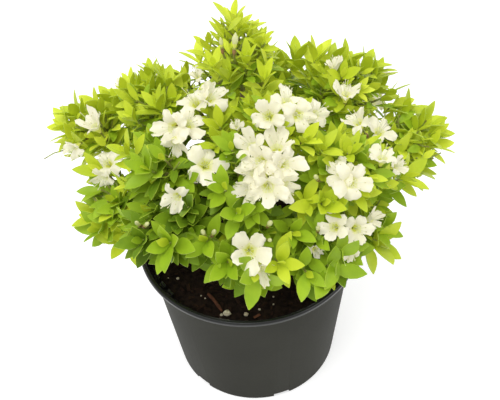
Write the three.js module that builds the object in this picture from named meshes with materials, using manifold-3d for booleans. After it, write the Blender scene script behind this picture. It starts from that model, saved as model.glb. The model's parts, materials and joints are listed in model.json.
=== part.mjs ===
// A white-flowering garden azalea, a small evergreen shrub with a dense spreading crown,
// growing in a round plastic nursery pot filled with potting mix.
// Millimetres, +Z up. The origin is the middle of the pot's flat underside, and -Y is the front.
// A bearing is a direction seen from above: 0 is the front, and it grows towards +X.
import * as THREE from "three";
import { mergeVertices } from "three/addons/utils/BufferGeometryUtils.js";
import Module from "manifold-3d";

const wasm = await Module();
wasm.setup();

const POT = {
  height: 147,
  rimRadius: 95, // the pot is 190 across its rim
  rimDepth: 4.7,
  rimRound: 1.1,
  shoulderRadius: 88, // outside of the wall, just under the rim
  baseRadius: 74.5,
  footRound: 1.5,
  wall: 2,
  floor: 2.8,
  facets: 42,
};
const DRAIN = { count: 6, width: 15, height: 5, depth: 9, firstBearing: 15 };
const SOIL = {
  level: 133, // 14 below the top of the rim
  lumps: 1.4,
  rings: 5,
  facets: 24,
  seatRadius: 17, // the flat round the trunk's foot
};
const CLEAR = 0.3; // the gap between pieces that touch

const TRUNK = {
  height: 42,
  lean: new THREE.Vector3(2, 7, 0),
  flareRadius: 12,
  flarePower: 6, // how fast the root flare dies away
  waistRadius: 8,
  headRadius: 5.6,
  facets: 10,
  steps: 7,
};
const BOUGH = {
  mainRadius: 3.6,
  sideRadius: 2.9,
  taper: 0.6, // tip radius as a share of the foot's
  facets: 5,
  steps: 5,
  entry: 0.56, // how far out from a mass's middle its bough ends, as a share of the mass
  sag: 0.55, // how far below its straight way a bough comes up into its mass
  spring: 0.4, // how far its two ends hold their lines, as a share of its way
  rise: 0.3, // its slope where it leaves its parent
};
const STEM = {
  radius: 2.3,
  tipRadius: 1.9,
  facets: 4,
  length: 1.15, // its end, as a share of the way from its bough to the mass's middle
  firstFork: 0.3, // shoots leave it from this share of its length to its end
};
const SHOOT = {
  ways: 11, // the ways that shoots may take, spread evenly all round a mass's middle
  turn: 137.5, // degrees from one way to the next, seen from above
  wander: 9, // degrees by which a way may differ from that
  open: 0.66, // a way is taken where the mass reaches this share of its half width
  behind: -0.45, // no shoot turns further back over its stem than this cosine
  forkRadius: 0.9,
  tipRadius: 0.8,
  leafRoom: 21, // a leafy shoot ends this far inside the mass's outline
  shortest: 4,
  margin: 2.2, // least room between a shoot's middle line and a limb
};
const LEAF = {
  length: 34,
  width: 16,
  widest: 0.5, // where along its length a leaf is widest
  thickness: 1,
  vary: 0.1, // leaves are up to this share longer or shorter
  whorl: 5, // leaves round the tip of a shoot
  hub: 2.6, // the reach of the joint between two leaves of a whorl
  crown: 1.2, // and its height over the shoot's tip
  tilt: 62, // degrees between a shoot's line and the leaves round its tip
  sway: 10, // degrees by which a leaf may differ from that
  leans: [1, 1.25, 0.75, 0.5], // a crowded leaf takes another share of its tilt
  sizes: [1, 0.88, 0.76, 0.66], // or stays small
  margin: 2.2, // least room between a leaf and a limb
  bloomMargin: 1.5, // and between a leaf and another mass's bloom
  proud: 1.12, // leaves may stand out of a mass's outline by this share
  mayCross: 0.01, // a leaf that cuts further into another leaf or twig is skipped, in mm3
};
const BLOOM = {
  petals: 5,
  radius: 16,
  depth: 12,
  throat: 5,
  // The outline of one petal: its share of the turn, of the radius and of the depth.
  petal: [[0.22, 1, 1], [0.6, 1, 1], [0.91, 0.5, 0.82]],
  spread: 56, // degrees by which the blooms of one truss lean apart
  pedicel: 10, // the stalk of each bloom of a truss
  room: 15, // a flowering shoot ends this far inside the mass's outline
  trussRoom: 27, // or this far, where it carries several blooms
  proud: 1.3, // petals may stand out of a mass's outline by this share
  over: 8, // and over the border between two masses by this much
};
const SPACE = {
  margin: 0.8, // leaves and twigs stay this far inside the border between two masses
  rimRoom: 18, // inside this distance from the rim, leaves may hang lower
  overRim: 3,
  overSoil: 8,
};
const SEED = 4211;
const SEED_STEP = 97;

// The masses of foliage. Each has its own bough, which forks from the trunk or from another
// bough at the given share of its length, and its own trusses: [bearing, lift, blooms] give the
// way each truss faces from the middle of the mass, in degrees, and its number of blooms.
const MASSES = [
  {
    name: "upper_front", bearing: 5, reach: 44, height: 250, halfWidth: 42, halfHeight: 40,
    from: "trunk", fork: 0.62, trusses: [[75, 72, 2], [80, 35, 2], [22, 28, 2]],
  },
  {
    name: "upper_right", bearing: 62, reach: 76, height: 246, halfWidth: 44, halfHeight: 38,
    from: "trunk", fork: 0.42, trusses: [[-165, 48, 1], [5, 42, 2]],
  },
  {
    name: "upper_back_right", bearing: 122, reach: 90, height: 250, halfWidth: 44, halfHeight: 38,
    from: "trunk", fork: 0.68, trusses: [[-35, 80, 1], [10, 45, 2], [130, 30, 1]],
  },
  {
    name: "upper_back", bearing: 172, reach: 64, height: 252, halfWidth: 46, halfHeight: 40,
    from: "trunk", fork: 0.5, trusses: [[-170, 45, 2], [150, 10, 1]],
  },
  {
    name: "upper_back_left", bearing: -124, reach: 78, height: 250, halfWidth: 44, halfHeight: 40,
    from: "trunk", fork: 0.7, trusses: [[100, 28, 2], [-120, 40, 2]],
  },
  {
    name: "upper_left", bearing: -60, reach: 62, height: 250, halfWidth: 44, halfHeight: 40,
    from: "trunk", fork: 0.46, trusses: [[165, 50, 2], [68, 43, 2], [10, 20, 1]],
  },
  {
    name: "crest", bearing: 176, reach: 38, height: 298, halfWidth: 36, halfHeight: 48,
    from: "trunk", fork: 0.97, trusses: [[-12, 45, 1]],
  },
  {
    name: "top", bearing: 58, reach: 22, height: 268, halfWidth: 44, halfHeight: 38,
    from: "crest", fork: 0.3, trusses: [[70, 55, 2], [100, 20, 2]],
  },
  {
    name: "middle", bearing: -45, reach: 17, height: 264, halfWidth: 40, halfHeight: 36,
    from: "crest", fork: 0.45, trusses: [[-70, 60, 1]],
  },
  {
    name: "front", bearing: 2, reach: 66, height: 208, halfWidth: 46, halfHeight: 42,
    from: "upper_front", fork: 0.34, trusses: [[-6, 38, 1], [50, 55, 1]],
  },
  {
    name: "front_right", bearing: 36, reach: 83, height: 206, halfWidth: 43, halfHeight: 40,
    from: "upper_right", fork: 0.26, trusses: [[-24, 42, 1]],
  },
  {
    name: "right_low", bearing: 66, reach: 92, height: 195, halfWidth: 39, halfHeight: 36,
    from: "upper_right", fork: 0.46, trusses: [[-50, 24, 2], [-12, 35, 2]],
  },
  {
    name: "right_tip", bearing: 99, reach: 124, height: 215, halfWidth: 48, halfHeight: 42,
    from: "upper_back_right", fork: 0.3, trusses: [[-60, 52, 2], [-24, 20, 2]],
  },
  {
    name: "back_right", bearing: 138, reach: 108, height: 205, halfWidth: 50, halfHeight: 46,
    from: "upper_back_right", fork: 0.48, trusses: [[140, 25, 2], [100, 5, 1]],
  },
  {
    name: "back", bearing: 178, reach: 104, height: 202, halfWidth: 52, halfHeight: 46,
    from: "upper_back", fork: 0.34, trusses: [[-165, 30, 2], [160, 0, 1]],
  },
  {
    name: "back_left", bearing: -142, reach: 104, height: 205, halfWidth: 50, halfHeight: 46,
    from: "upper_back_left", fork: 0.46, trusses: [[-150, 20, 2], [-110, 45, 1]],
  },
  {
    name: "left_tip", bearing: -107, reach: 117, height: 240, halfWidth: 44, halfHeight: 34,
    from: "upper_back_left", fork: 0.3, trusses: [[-32, 70, 1], [-42, 34, 1], [11, 12, 2]],
  },
  {
    name: "left_low", bearing: -75, reach: 100, height: 214, halfWidth: 39, halfHeight: 30,
    from: "upper_left", fork: 0.3, trusses: [[-60, 10, 1]],
  },
  {
    name: "front_left", bearing: -43, reach: 78, height: 232, halfWidth: 42, halfHeight: 36,
    from: "upper_left", fork: 0.48, trusses: [[50, 38, 1]],
  },
];

const COLOURS = {
  pot: { color: 0x2a2b28, roughness: 0.45, metalness: 0 },
  soil: { color: 0x21150e, roughness: 0.95, metalness: 0 },
  bark: { color: 0x6b5138, roughness: 0.85, metalness: 0 },
  foliage: { color: 0x8fbf26, roughness: 0.5, metalness: 0 },
};

const UP = new THREE.Vector3(0, 0, 1);

/** A unit vector from a bearing and a lift above the level, both in degrees. */
function direction(bearing, lift = 0) {
  const turn = THREE.MathUtils.degToRad(bearing);
  const rise = THREE.MathUtils.degToRad(lift);
  return new THREE.Vector3(
    Math.sin(turn) * Math.cos(rise),
    -Math.cos(turn) * Math.cos(rise),
    Math.sin(rise),
  );
}

/** Draws from 0 to 1 that are the same on every run. */
function seededDraws(seed) {
  let state = seed;
  return () => {
    state = (state * 16807) % 2147483647;
    return state / 2147483647;
  };
}

/** Two unit vectors across `line`, at right angles to each other. */
function acrossFrom(line) {
  const side = new THREE.Vector3().crossVectors(line, UP);
  if (side.length() < 1e-3) side.set(1, 0, 0);
  side.normalize();
  return [side, new THREE.Vector3().crossVectors(line, side).normalize()];
}

/** A closed geometry as a solid that can be joined and cut. */
function solidOf(geometry) {
  const bare = geometry.clone();
  for (const name of Object.keys(bare.attributes)) {
    if (name !== "position") bare.deleteAttribute(name);
  }
  const merged = mergeVertices(bare, 1e-3);
  return new wasm.Manifold(
    new wasm.Mesh({
      numProp: 3,
      vertProperties: merged.attributes.position.array,
      triVerts: new Uint32Array(merged.index.array),
    }),
  );
}

/** The largest piece of a solid, with loose scraps and sealed hollows left out. */
function wholePiece(solid) {
  return solid.decompose().reduce((a, b) => (b.volume() > a.volume() ? b : a));
}

/** A solid's surface as a geometry. */
function geometryOf(solid) {
  const made = solid.getMesh();
  const geometry = new THREE.BufferGeometry();
  geometry.setAttribute("position", new THREE.BufferAttribute(made.vertProperties, 3));
  geometry.setIndex(new THREE.BufferAttribute(made.triVerts, 1));
  return geometry;
}

/** A named mesh of a solid's largest piece, in one of the COLOURS. */
function meshOf(name, solid, colour) {
  const rounded = solidOf(geometryOf(solid));
  const geometry = geometryOf(wholePiece(rounded));
  geometry.computeVertexNormals();
  const mesh = new THREE.Mesh(geometry, new THREE.MeshStandardMaterial(COLOURS[colour]));
  mesh.name = name;
  return mesh;
}

/** A solid turned round the Z axis from a profile of [radius, height] points. */
function turned(profile, facets) {
  const points = profile.map(([radius, height]) => new THREE.Vector2(radius, height));
  return new THREE.LatheGeometry(points, facets).rotateX(Math.PI / 2);
}

/** The inner radius of the pot's wall at a height. */
function innerRadius(height) {
  const shoulder = POT.height - POT.rimDepth;
  const slope = (POT.shoulderRadius - POT.baseRadius) / shoulder;
  return POT.baseRadius - POT.wall + slope * Math.min(height, shoulder);
}

/** The pot: a tapering wall with a rolled rim, a flat floor and drain slots round its foot. */
function makePot() {
  const shoulder = POT.height - POT.rimDepth;
  const mouth = innerRadius(shoulder);
  const profile = [
    [0, 0],
    [POT.baseRadius - POT.footRound, 0],
    [POT.baseRadius, POT.footRound],
    [POT.shoulderRadius, shoulder],
    [POT.rimRadius - POT.rimRound, shoulder],
    [POT.rimRadius, shoulder + POT.rimRound],
    [POT.rimRadius, POT.height - POT.rimRound],
    [POT.rimRadius - POT.rimRound, POT.height],
    [mouth + POT.rimRound, POT.height],
    [mouth, POT.height - POT.rimRound],
    [mouth, shoulder],
    [innerRadius(POT.floor), POT.floor],
    [0, POT.floor],
  ];
  let pot = solidOf(turned(profile, POT.facets));
  for (let i = 0; i < DRAIN.count; i++) {
    const bearing = DRAIN.firstBearing + (360 / DRAIN.count) * i;
    const slot = new THREE.BoxGeometry(DRAIN.width, 2 * DRAIN.depth, 2 * DRAIN.height);
    slot.rotateZ(THREE.MathUtils.degToRad(bearing));
    const middle = direction(bearing).multiplyScalar(POT.baseRadius);
    pot = pot.subtract(solidOf(slot.translate(middle.x, middle.y, 0)));
  }
  return pot;
}

/** Small waves on the potting mix, the same height at both ends of the turned surface. */
function soilHeight(x, y) {
  const waves = Math.sin(0.11 * x + 0.6) * Math.cos(0.13 * y) + 0.6 * Math.sin(0.21 * (x - y));
  const out = Math.hypot(x, y) - SOIL.seatRadius;
  return SOIL.lumps * waves * THREE.MathUtils.clamp(out / SOIL.seatRadius, 0, 1);
}

/** The potting mix that fills the pot, with an uneven top and a flat seat for the trunk. */
function makeSoil() {
  const bottom = POT.floor + CLEAR;
  const lowerRadius = innerRadius(bottom) - CLEAR;
  const upperRadius = innerRadius(SOIL.level) - CLEAR;
  const profile = [[0, bottom], [lowerRadius, bottom], [upperRadius, SOIL.level]];
  for (let ring = SOIL.rings - 1; ring > 0; ring--) {
    const share = ring / SOIL.rings;
    profile.push([SOIL.seatRadius + (upperRadius - SOIL.seatRadius) * share, SOIL.level]);
  }
  profile.push([SOIL.seatRadius, SOIL.level], [0, SOIL.level]);
  const geometry = turned(profile, SOIL.facets);
  const position = geometry.attributes.position;
  for (let i = 0; i < position.count; i++) {
    const [x, y, z] = [position.getX(i), position.getY(i), position.getZ(i)];
    const free = z > SOIL.level - 1 && Math.hypot(x, y) < upperRadius - 1;
    if (free) position.setZ(i, z + soilHeight(x, y));
  }
  return solidOf(geometry);
}

/** A tapering limb along a curve, closed at both ends. `radiusAt` takes a share from 0 to 1. */
function limbGeometry(curve, radiusAt, steps, facets) {
  const frames = curve.computeFrenetFrames(steps, false);
  const positions = [];
  const index = [];
  for (let step = 0; step <= steps; step++) {
    const middle = curve.getPoint(step / steps);
    for (let i = 0; i < facets; i++) {
      const angle = (2 * Math.PI * i) / facets;
      const corner = middle.clone();
      corner.addScaledVector(frames.normals[step], radiusAt(step / steps) * Math.cos(angle));
      corner.addScaledVector(frames.binormals[step], radiusAt(step / steps) * Math.sin(angle));
      positions.push(corner.x, corner.y, corner.z);
    }
  }
  for (let step = 0; step < steps; step++) {
    for (let i = 0; i < facets; i++) {
      const a = step * facets + i;
      const b = step * facets + ((i + 1) % facets);
      index.push(a, b, b + facets, a, b + facets, a + facets);
    }
  }
  const last = steps * facets;
  for (let i = 1; i < facets - 1; i++) {
    index.push(0, i + 1, i, last, last + i, last + i + 1);
  }
  const geometry = new THREE.BufferGeometry();
  geometry.setAttribute("position", new THREE.Float32BufferAttribute(positions, 3));
  geometry.setIndex(index);
  return geometry;
}

/** The trunk's centreline and its radius: a root flare at the potting mix, then a slow taper. */
function trunkLimb() {
  const foot = new THREE.Vector3(0, 0, SOIL.level + CLEAR);
  const head = foot.clone().addScaledVector(UP, TRUNK.height).add(TRUNK.lean);
  const bend = foot.clone().addScaledVector(UP, TRUNK.height / 2);
  const radiusAt = (share) => {
    const taper = THREE.MathUtils.lerp(TRUNK.waistRadius, TRUNK.headRadius, share);
    const flare = Math.pow(1 - share, TRUNK.flarePower);
    return taper + (TRUNK.flareRadius - TRUNK.waistRadius) * flare;
  };
  const curve = new THREE.QuadraticBezierCurve3(foot, bend, head);
  return { curve, radiusAt, steps: TRUNK.steps, facets: TRUNK.facets };
}

/** The middle of a mass of foliage. */
function middleOf(mass) {
  const middle = direction(mass.bearing).multiplyScalar(mass.reach);
  return middle.setZ(mass.height);
}

/** How far a mass reaches from its middle along a unit vector. */
function reachAlong(mass, line) {
  const across = Math.hypot(line.x, line.y) / mass.halfWidth;
  return 1 / Math.hypot(across, line.z / mass.halfHeight);
}

/** The bough that carries a mass: it leaves its parent outwards and turns up to the mass. */
function boughLimb(mass, parent) {
  const start = parent.curve.getPoint(mass.fork);
  const middle = middleOf(mass);
  const inwards = start.clone().sub(middle).normalize();
  const entry = inwards.addScaledVector(UP, -BOUGH.sag).normalize();
  const end = middle.addScaledVector(entry, BOUGH.entry * reachAlong(mass, entry));
  const way = end.clone().sub(start);
  const hold = BOUGH.spring * way.length();
  const leaving = way.clone().setZ(0).normalize().addScaledVector(UP, BOUGH.rise).normalize();
  const afterStart = start.clone().addScaledVector(leaving, hold);
  const beforeEnd = end.clone().addScaledVector(entry, hold);
  const footRadius = mass.from === "trunk" ? BOUGH.mainRadius : BOUGH.sideRadius;
  return {
    curve: new THREE.CubicBezierCurve3(start, afterStart, beforeEnd, end),
    radiusAt: (share) => footRadius * THREE.MathUtils.lerp(1, BOUGH.taper, share),
    steps: BOUGH.steps,
    facets: BOUGH.facets,
  };
}

/** A limb's solid, made thicker all round by `extra`. */
function limbSolid(limb, extra = 0) {
  const radiusAt = (share) => limb.radiusAt(share) + extra;
  return solidOf(limbGeometry(limb.curve, radiusAt, limb.steps, limb.facets));
}

/** The least distance from a point to a limb's bark, below 0 inside it. */
function distanceToLimb(point, limb) {
  const nearest = new THREE.Vector3();
  const points = limb.curve.getPoints(limb.steps);
  const gaps = points.slice(1).map((next, step) => {
    const line = new THREE.Line3(points[step], next);
    const along = line.closestPointToPointParameter(point, true);
    const radius = limb.radiusAt((step + along) / limb.steps);
    return line.at(along, nearest).distanceTo(point) - radius;
  });
  return Math.min(...gaps);
}

/** How far from a mass's middle along a unit vector its own outline lies, with its neighbours'
 * borders, beyond which a point would be nearer to them. `over` sets the borders further out. */
function extentAlong(mass, line, proud = 1, over = -SPACE.margin) {
  const own = middleOf(mass);
  let extent = reachAlong(mass, line) * proud;
  for (const other of MASSES) {
    if (other === mass) continue;
    const between = middleOf(other).sub(own);
    const apart = between.length();
    const facing = line.dot(between) / apart;
    if (facing <= 0) continue;
    const border = (apart ** 2 + mass.halfWidth ** 2 - other.halfWidth ** 2) / (2 * apart);
    extent = Math.min(extent, (border + over) / facing);
  }
  return extent;
}

/** True where a point lies in a mass's own space, above the pot's rim and the potting mix. */
function inSpace(point, mass, proud, over) {
  const isOverRim = Math.hypot(point.x, point.y) > POT.rimRadius - SPACE.rimRoom;
  const lowest = isOverRim ? POT.height + SPACE.overRim : SOIL.level + SPACE.overSoil;
  if (point.z < lowest) return false;
  const from = point.clone().sub(middleOf(mass));
  const reach = from.length();
  return reach < 1 || reach <= extentAlong(mass, from.divideScalar(reach), proud, over);
}

/** A straight tapering twig from one point to another. */
function twigGeometry(from, to, fromRadius, toRadius, facets = 3) {
  const line = to.clone().sub(from);
  const geometry = new THREE.CylinderGeometry(toRadius, fromRadius, line.length(), facets);
  geometry.applyQuaternion(
    new THREE.Quaternion().setFromUnitVectors(new THREE.Vector3(0, 1, 0), line.clone().normalize()),
  );
  const middle = from.clone().add(to).multiplyScalar(0.5);
  return geometry.translate(middle.x, middle.y, middle.z);
}

/** A blade as thick as a leaf, from `root` along `line`, that is used to find a leaf's room. */
function bladeGeometry(root, line, across, length, width) {
  const flat = new THREE.Vector3().crossVectors(line, across).normalize();
  const size = new THREE.Vector3(length / 2, width / 2, LEAF.thickness / 2);
  const place = new THREE.Matrix4().makeBasis(line, across, flat).scale(size);
  place.setPosition(root.clone().addScaledVector(line, length / 2));
  return new THREE.OctahedronGeometry(1, 0).applyMatrix4(place);
}

/** A three-sided twig that opens into an outline round its end, one closed shape. The outline is
 * a list of points, each with its angle round the twig, in order, and closes over at `crown`. */
function openingTwig(from, to, fromRadius, toRadius, outline, crown) {
  const [side, over] = acrossFrom(to.clone().sub(from).normalize());
  const third = (2 * Math.PI) / 3;
  const corner = (middle, radius, i) =>
    middle
      .clone()
      .addScaledVector(side, radius * Math.cos(third * (i + 0.5)))
      .addScaledVector(over, radius * Math.sin(third * (i + 0.5)));
  const corners = [0, 1, 2];
  const points = [
    ...corners.map((i) => corner(from, fromRadius, i)),
    ...corners.map((i) => corner(to, toRadius, i)),
    crown,
    ...outline.map(({ point }) => point),
  ];
  const endCorners = corners.length;
  const crownPoint = 2 * endCorners;
  const firstOutline = crownPoint + 1;
  const index = [0, 2, 1];
  for (const i of corners) {
    const next = (i + 1) % endCorners;
    index.push(i, next, endCorners + next, i, endCorners + next, endCorners + i);
  }
  const cornerBelow = ({ angle }) => {
    const turns = angle / (2 * Math.PI);
    return endCorners + Math.floor((turns - Math.floor(turns)) * endCorners);
  };
  outline.forEach((entry, i) => {
    const next = (i + 1) % outline.length;
    const [a, b] = [firstOutline + i, firstOutline + next];
    const [below, belowNext] = [cornerBelow(entry), cornerBelow(outline[next])];
    index.push(crownPoint, a, b, b, a, below);
    if (below !== belowNext) index.push(below, belowNext, b);
  });
  const geometry = new THREE.BufferGeometry().setFromPoints(points);
  geometry.setIndex(index);
  return geometry;
}

/** One leaf of a whorl: its blade at an angle round a shoot, and as an outline of three points. */
function whorlLeaf(shoot, angle, tilt, length) {
  const [side, over] = acrossFrom(shoot.heading);
  const around = side.clone().multiplyScalar(Math.cos(angle)).addScaledVector(over, Math.sin(angle));
  const across = over.clone().multiplyScalar(Math.cos(angle)).addScaledVector(side, -Math.sin(angle));
  const line = shoot.heading.clone().multiplyScalar(Math.cos(tilt));
  line.addScaledVector(around, Math.sin(tilt)).normalize();
  const sector = 2 * length * LEAF.widest * Math.sin(tilt) * Math.tan(Math.PI / LEAF.whorl);
  const width = Math.min(LEAF.width, sector);
  const middle = shoot.tip.clone().addScaledVector(line, length * LEAF.widest);
  const points = [
    middle.clone().addScaledVector(across, -width / 2),
    shoot.tip.clone().addScaledVector(line, length),
    middle.clone().addScaledVector(across, width / 2),
  ];
  return {
    blade: bladeGeometry(shoot.tip, line, across, length, width),
    outline: points.map((point) => ({ point, angle })),
  };
}

/** The outline of a bloom with its petals spread, from its foot towards `line`. */
function bloomOutline(foot, line, turn) {
  const [side, over] = acrossFrom(line);
  const petalTurn = (2 * Math.PI) / BLOOM.petals;
  return Array.from({ length: BLOOM.petals }, (_, i) => i).flatMap((i) =>
    BLOOM.petal.map(([share, out, along]) => {
      const angle = turn + petalTurn * (i + share);
      const point = foot.clone().addScaledVector(line, BLOOM.depth * along);
      point.addScaledVector(side, BLOOM.radius * out * Math.cos(angle));
      point.addScaledVector(over, BLOOM.radius * out * Math.sin(angle));
      return { point, angle };
    }),
  );
}

/** The corners of a geometry. */
function pointsOf(geometry) {
  const position = geometry.attributes.position;
  return Array.from({ length: position.count }, (_, i) =>
    new THREE.Vector3().fromBufferAttribute(position, i),
  );
}

/** The corners of a shape, with its middle and the points half-way to it. */
function samplesOf(corners) {
  const middle = new THREE.Box3().setFromPoints(corners).getCenter(new THREE.Vector3());
  return [...corners, middle, ...corners.map((corner) => corner.clone().lerp(middle, 0.5))];
}

/** The short stem inside a mass, which carries on from its bough 0.3 mm clear of it. */
function stemOf(mass, bough) {
  const line = bough.curve.getTangent(1);
  const start = bough.curve.getPoint(1).addScaledVector(line, CLEAR);
  const length = middleOf(mass).distanceTo(start) * STEM.length;
  return { start, end: start.clone().addScaledVector(line, length), line };
}

/** One shoot of a mass along `line`, ending `room` inside its space. */
function shootAlong(mass, line, room) {
  const extent = extentAlong(mass, line);
  const tip = middleOf(mass).addScaledVector(line, Math.max(extent - room, SHOOT.shortest));
  return { line, tip, extent };
}

/** The leafy shoots of a mass, spread evenly over the ways that its neighbours leave open. */
function shootsOf(mass, stem, draw) {
  const shoots = [];
  for (let i = 0; i < SHOOT.ways; i++) {
    const lift = THREE.MathUtils.radToDeg(Math.asin(1 - (2 * i + 1) / SHOOT.ways));
    const bearing = SHOOT.turn * i + mass.bearing + (2 * draw() - 1) * SHOOT.wander;
    const shoot = shootAlong(mass, direction(bearing, lift), SHOOT.leafRoom);
    const isOpen = shoot.extent > SHOOT.open * mass.halfWidth;
    if (isOpen && shoot.line.dot(stem.line) > SHOOT.behind) shoots.push(shoot);
  }
  return shoots;
}

/** Gives each shoot its own place to fork from the stem: the ones that turn back come first. */
function forkFrom(stem, shoots) {
  const order = [...shoots].sort((a, b) => a.line.dot(stem.line) - b.line.dot(stem.line));
  order.forEach((shoot, place) => {
    const share = THREE.MathUtils.lerp(STEM.firstFork, 1, (place + 0.5) / order.length);
    shoot.fork = stem.start.clone().lerp(stem.end, share);
    shoot.heading = shoot.tip.clone().sub(shoot.fork).normalize();
  });
}

/** True if a straight twig keeps clear of the limbs all along. */
function twigIsClear(from, to, limbs) {
  const shares = [0, 0.2, 0.4, 0.6, 0.8, 1];
  return shares.every((share) => {
    const point = from.clone().lerp(to, share);
    return limbs.every((limb) => distanceToLimb(point, limb) > SHOOT.margin);
  });
}

/** The blooms of one truss: each with its shoot, the stalk it opens from and its outline. */
function bloomsOf(shoot, count, draw) {
  const [side, over] = acrossFrom(shoot.line);
  const phase = draw();
  const lean = count > 1 ? THREE.MathUtils.degToRad(BLOOM.spread) : 0;
  return Array.from({ length: count }, (_, i) => {
    const angle = 2 * Math.PI * (i / count + phase);
    const way = count > 1 ? shoot.line.clone() : shoot.heading.clone();
    way.multiplyScalar(Math.cos(lean));
    way.addScaledVector(side, Math.sin(lean) * Math.cos(angle));
    way.addScaledVector(over, Math.sin(lean) * Math.sin(angle)).normalize();
    const from = count > 1 ? shoot.tip : shoot.fork;
    const foot = shoot.tip.clone().addScaledVector(way, count > 1 ? BLOOM.pedicel : 0);
    const outline = bloomOutline(foot, way, draw() * Math.PI);
    const throat = foot.clone().addScaledVector(way, BLOOM.throat);
    const middle = foot.clone().addScaledVector(way, (BLOOM.depth + BLOOM.throat) / 2);
    return { shoot, from, foot, outline, throat, middle, inTruss: count > 1 };
  });
}

/** What a mass grows from: its stem, its leafy shoots, and its blooms, where they have room beside
 * the limbs and the `taken` blooms of other masses. */
function planMass(mass, bough, limbs, taken, seed) {
  const draw = seededDraws(seed);
  const stem = stemOf(mass, bough);
  const leafy = shootsOf(mass, stem, draw);
  const trusses = mass.trusses.map(([bearing, lift, count]) => {
    const room = count > 1 ? BLOOM.trussRoom : BLOOM.room;
    return { ...shootAlong(mass, direction(bearing, lift), room), count };
  });
  forkFrom(stem, [...leafy, ...trusses]);
  const others = limbs.filter((limb) => limb !== bough);
  const isReached = (shoot) => twigIsClear(shoot.fork, shoot.tip, others);
  const isFree = (bloom) =>
    taken.every((other) => other.middle.distanceTo(bloom.middle) > 2 * BLOOM.radius) &&
    samplesOf(bloom.outline.map(({ point }) => point)).every(
      (point) =>
        inSpace(point, mass, BLOOM.proud, BLOOM.over) &&
        limbs.every((limb) => distanceToLimb(point, limb) > LEAF.margin),
    );
  const blooms = trusses.filter(isReached).flatMap((shoot) => bloomsOf(shoot, shoot.count, draw));
  return {
    mass,
    stem,
    draw,
    limbs: others,
    leafy: leafy.filter(isReached),
    blooms: blooms.filter(isFree),
  };
}

/** A bloom and its stalk as one solid. */
function bloomSolid({ from, foot, outline, throat, inTruss }) {
  const fromRadius = inTruss ? SHOOT.tipRadius : SHOOT.forkRadius;
  return solidOf(openingTwig(from, foot, fromRadius, SHOOT.tipRadius, outline, throat));
}

/** The leaves of one shoot's whorl that have room: a crowded leaf leans up or stays small. */
function whorlOf(shoot, draw, hasRoom) {
  const apart = (2 * Math.PI) / LEAF.whorl;
  const phase = draw() * apart;
  return Array.from({ length: LEAF.whorl }, (_, place) => {
    const angle = phase + apart * place;
    const tilt = THREE.MathUtils.degToRad(LEAF.tilt + (2 * draw() - 1) * LEAF.sway);
    const length = LEAF.length * (1 + (2 * draw() - 1) * LEAF.vary);
    const choices = LEAF.sizes.flatMap((size) =>
      LEAF.leans.map((lean) => whorlLeaf(shoot, angle, tilt * lean, length * size)),
    );
    return { angle, leaf: choices.find(({ blade }) => hasRoom(blade)) };
  });
}

/** A shoot and its whorl of leaves as one solid. */
function shootSolid(shoot, whorl) {
  const [side, over] = acrossFrom(shoot.heading);
  const outline = whorl.flatMap(({ angle, leaf }) => {
    const jointAngle = angle - Math.PI / LEAF.whorl;
    const joint = shoot.tip.clone().addScaledVector(shoot.heading, LEAF.crown / 2);
    joint.addScaledVector(side, LEAF.hub * Math.cos(jointAngle));
    joint.addScaledVector(over, LEAF.hub * Math.sin(jointAngle));
    return [{ point: joint, angle: jointAngle }, ...(leaf ? leaf.outline : [])];
  });
  const crown = shoot.tip.clone().addScaledVector(shoot.heading, LEAF.crown);
  const foot = shoot.tip.clone().addScaledVector(shoot.heading, -LEAF.crown);
  return solidOf(
    openingTwig(shoot.fork, foot, SHOOT.forkRadius, SHOOT.tipRadius, outline, crown),
  );
}

/** A mass of foliage: its stem, shoots, leaves and blooms, joined in one solid. A leaf that would
 * leave the mass's space, or touch a limb, another leaf or a bloom, is skipped. */
function makeMass({ mass, stem, draw, limbs, leafy, blooms }, othersBlooms) {
  const twigs = [...leafy, ...new Set(blooms.map((bloom) => bloom.shoot))].map((shoot) =>
    solidOf(twigGeometry(shoot.fork, shoot.tip, SHOOT.forkRadius, SHOOT.tipRadius)),
  );
  const ownBlooms = blooms.map(bloomSolid);
  const blades = [];
  const isClear = (point) =>
    inSpace(point, mass, LEAF.proud) &&
    limbs.every((limb) => distanceToLimb(point, limb) > LEAF.margin) &&
    othersBlooms.every(
      (bloom) => bloom.middle.distanceTo(point) > BLOOM.radius + LEAF.bloomMargin,
    );
  const crossesNothing = (blade, own) =>
    ![...twigs, ...ownBlooms, ...blades].some(
      (piece) => !own.includes(piece) && blade.intersect(piece).volume() > LEAF.mayCross,
    );
  const shoots = leafy.map((shoot, place) => {
    const own = [twigs[place]];
    const hasRoom = (geometry) => {
      if (!samplesOf(pointsOf(geometry)).every(isClear)) return false;
      const blade = solidOf(geometry);
      if (!crossesNothing(blade, own)) return false;
      own.push(blade);
      blades.push(blade);
      return true;
    };
    return shootSolid(shoot, whorlOf(shoot, draw, hasRoom));
  });
  const stemTwig = twigGeometry(stem.start, stem.end, STEM.radius, STEM.tipRadius, STEM.facets);
  const trussTwigs = twigs.slice(leafy.length);
  return wholePiece(
    wasm.Manifold.union([solidOf(stemTwig), ...shoots, ...trussTwigs, ...ownBlooms]),
  );
}

const azalea = new THREE.Group();
azalea.name = "azalea";
azalea.add(meshOf("pot", makePot(), "pot"));
azalea.add(meshOf("soil", makeSoil(), "soil"));

const limbs = new Map([["trunk", trunkLimb()]]);
for (const mass of MASSES) limbs.set(mass.name, boughLimb(mass, limbs.get(mass.from)));

azalea.add(meshOf("trunk", limbSolid(limbs.get("trunk")), "bark"));
for (const mass of MASSES) {
  const bough = limbSolid(limbs.get(mass.name));
  const cut = wholePiece(bough.subtract(limbSolid(limbs.get(mass.from), CLEAR)));
  azalea.add(meshOf(`bough_${mass.name}`, cut, "bark"));
}

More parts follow.
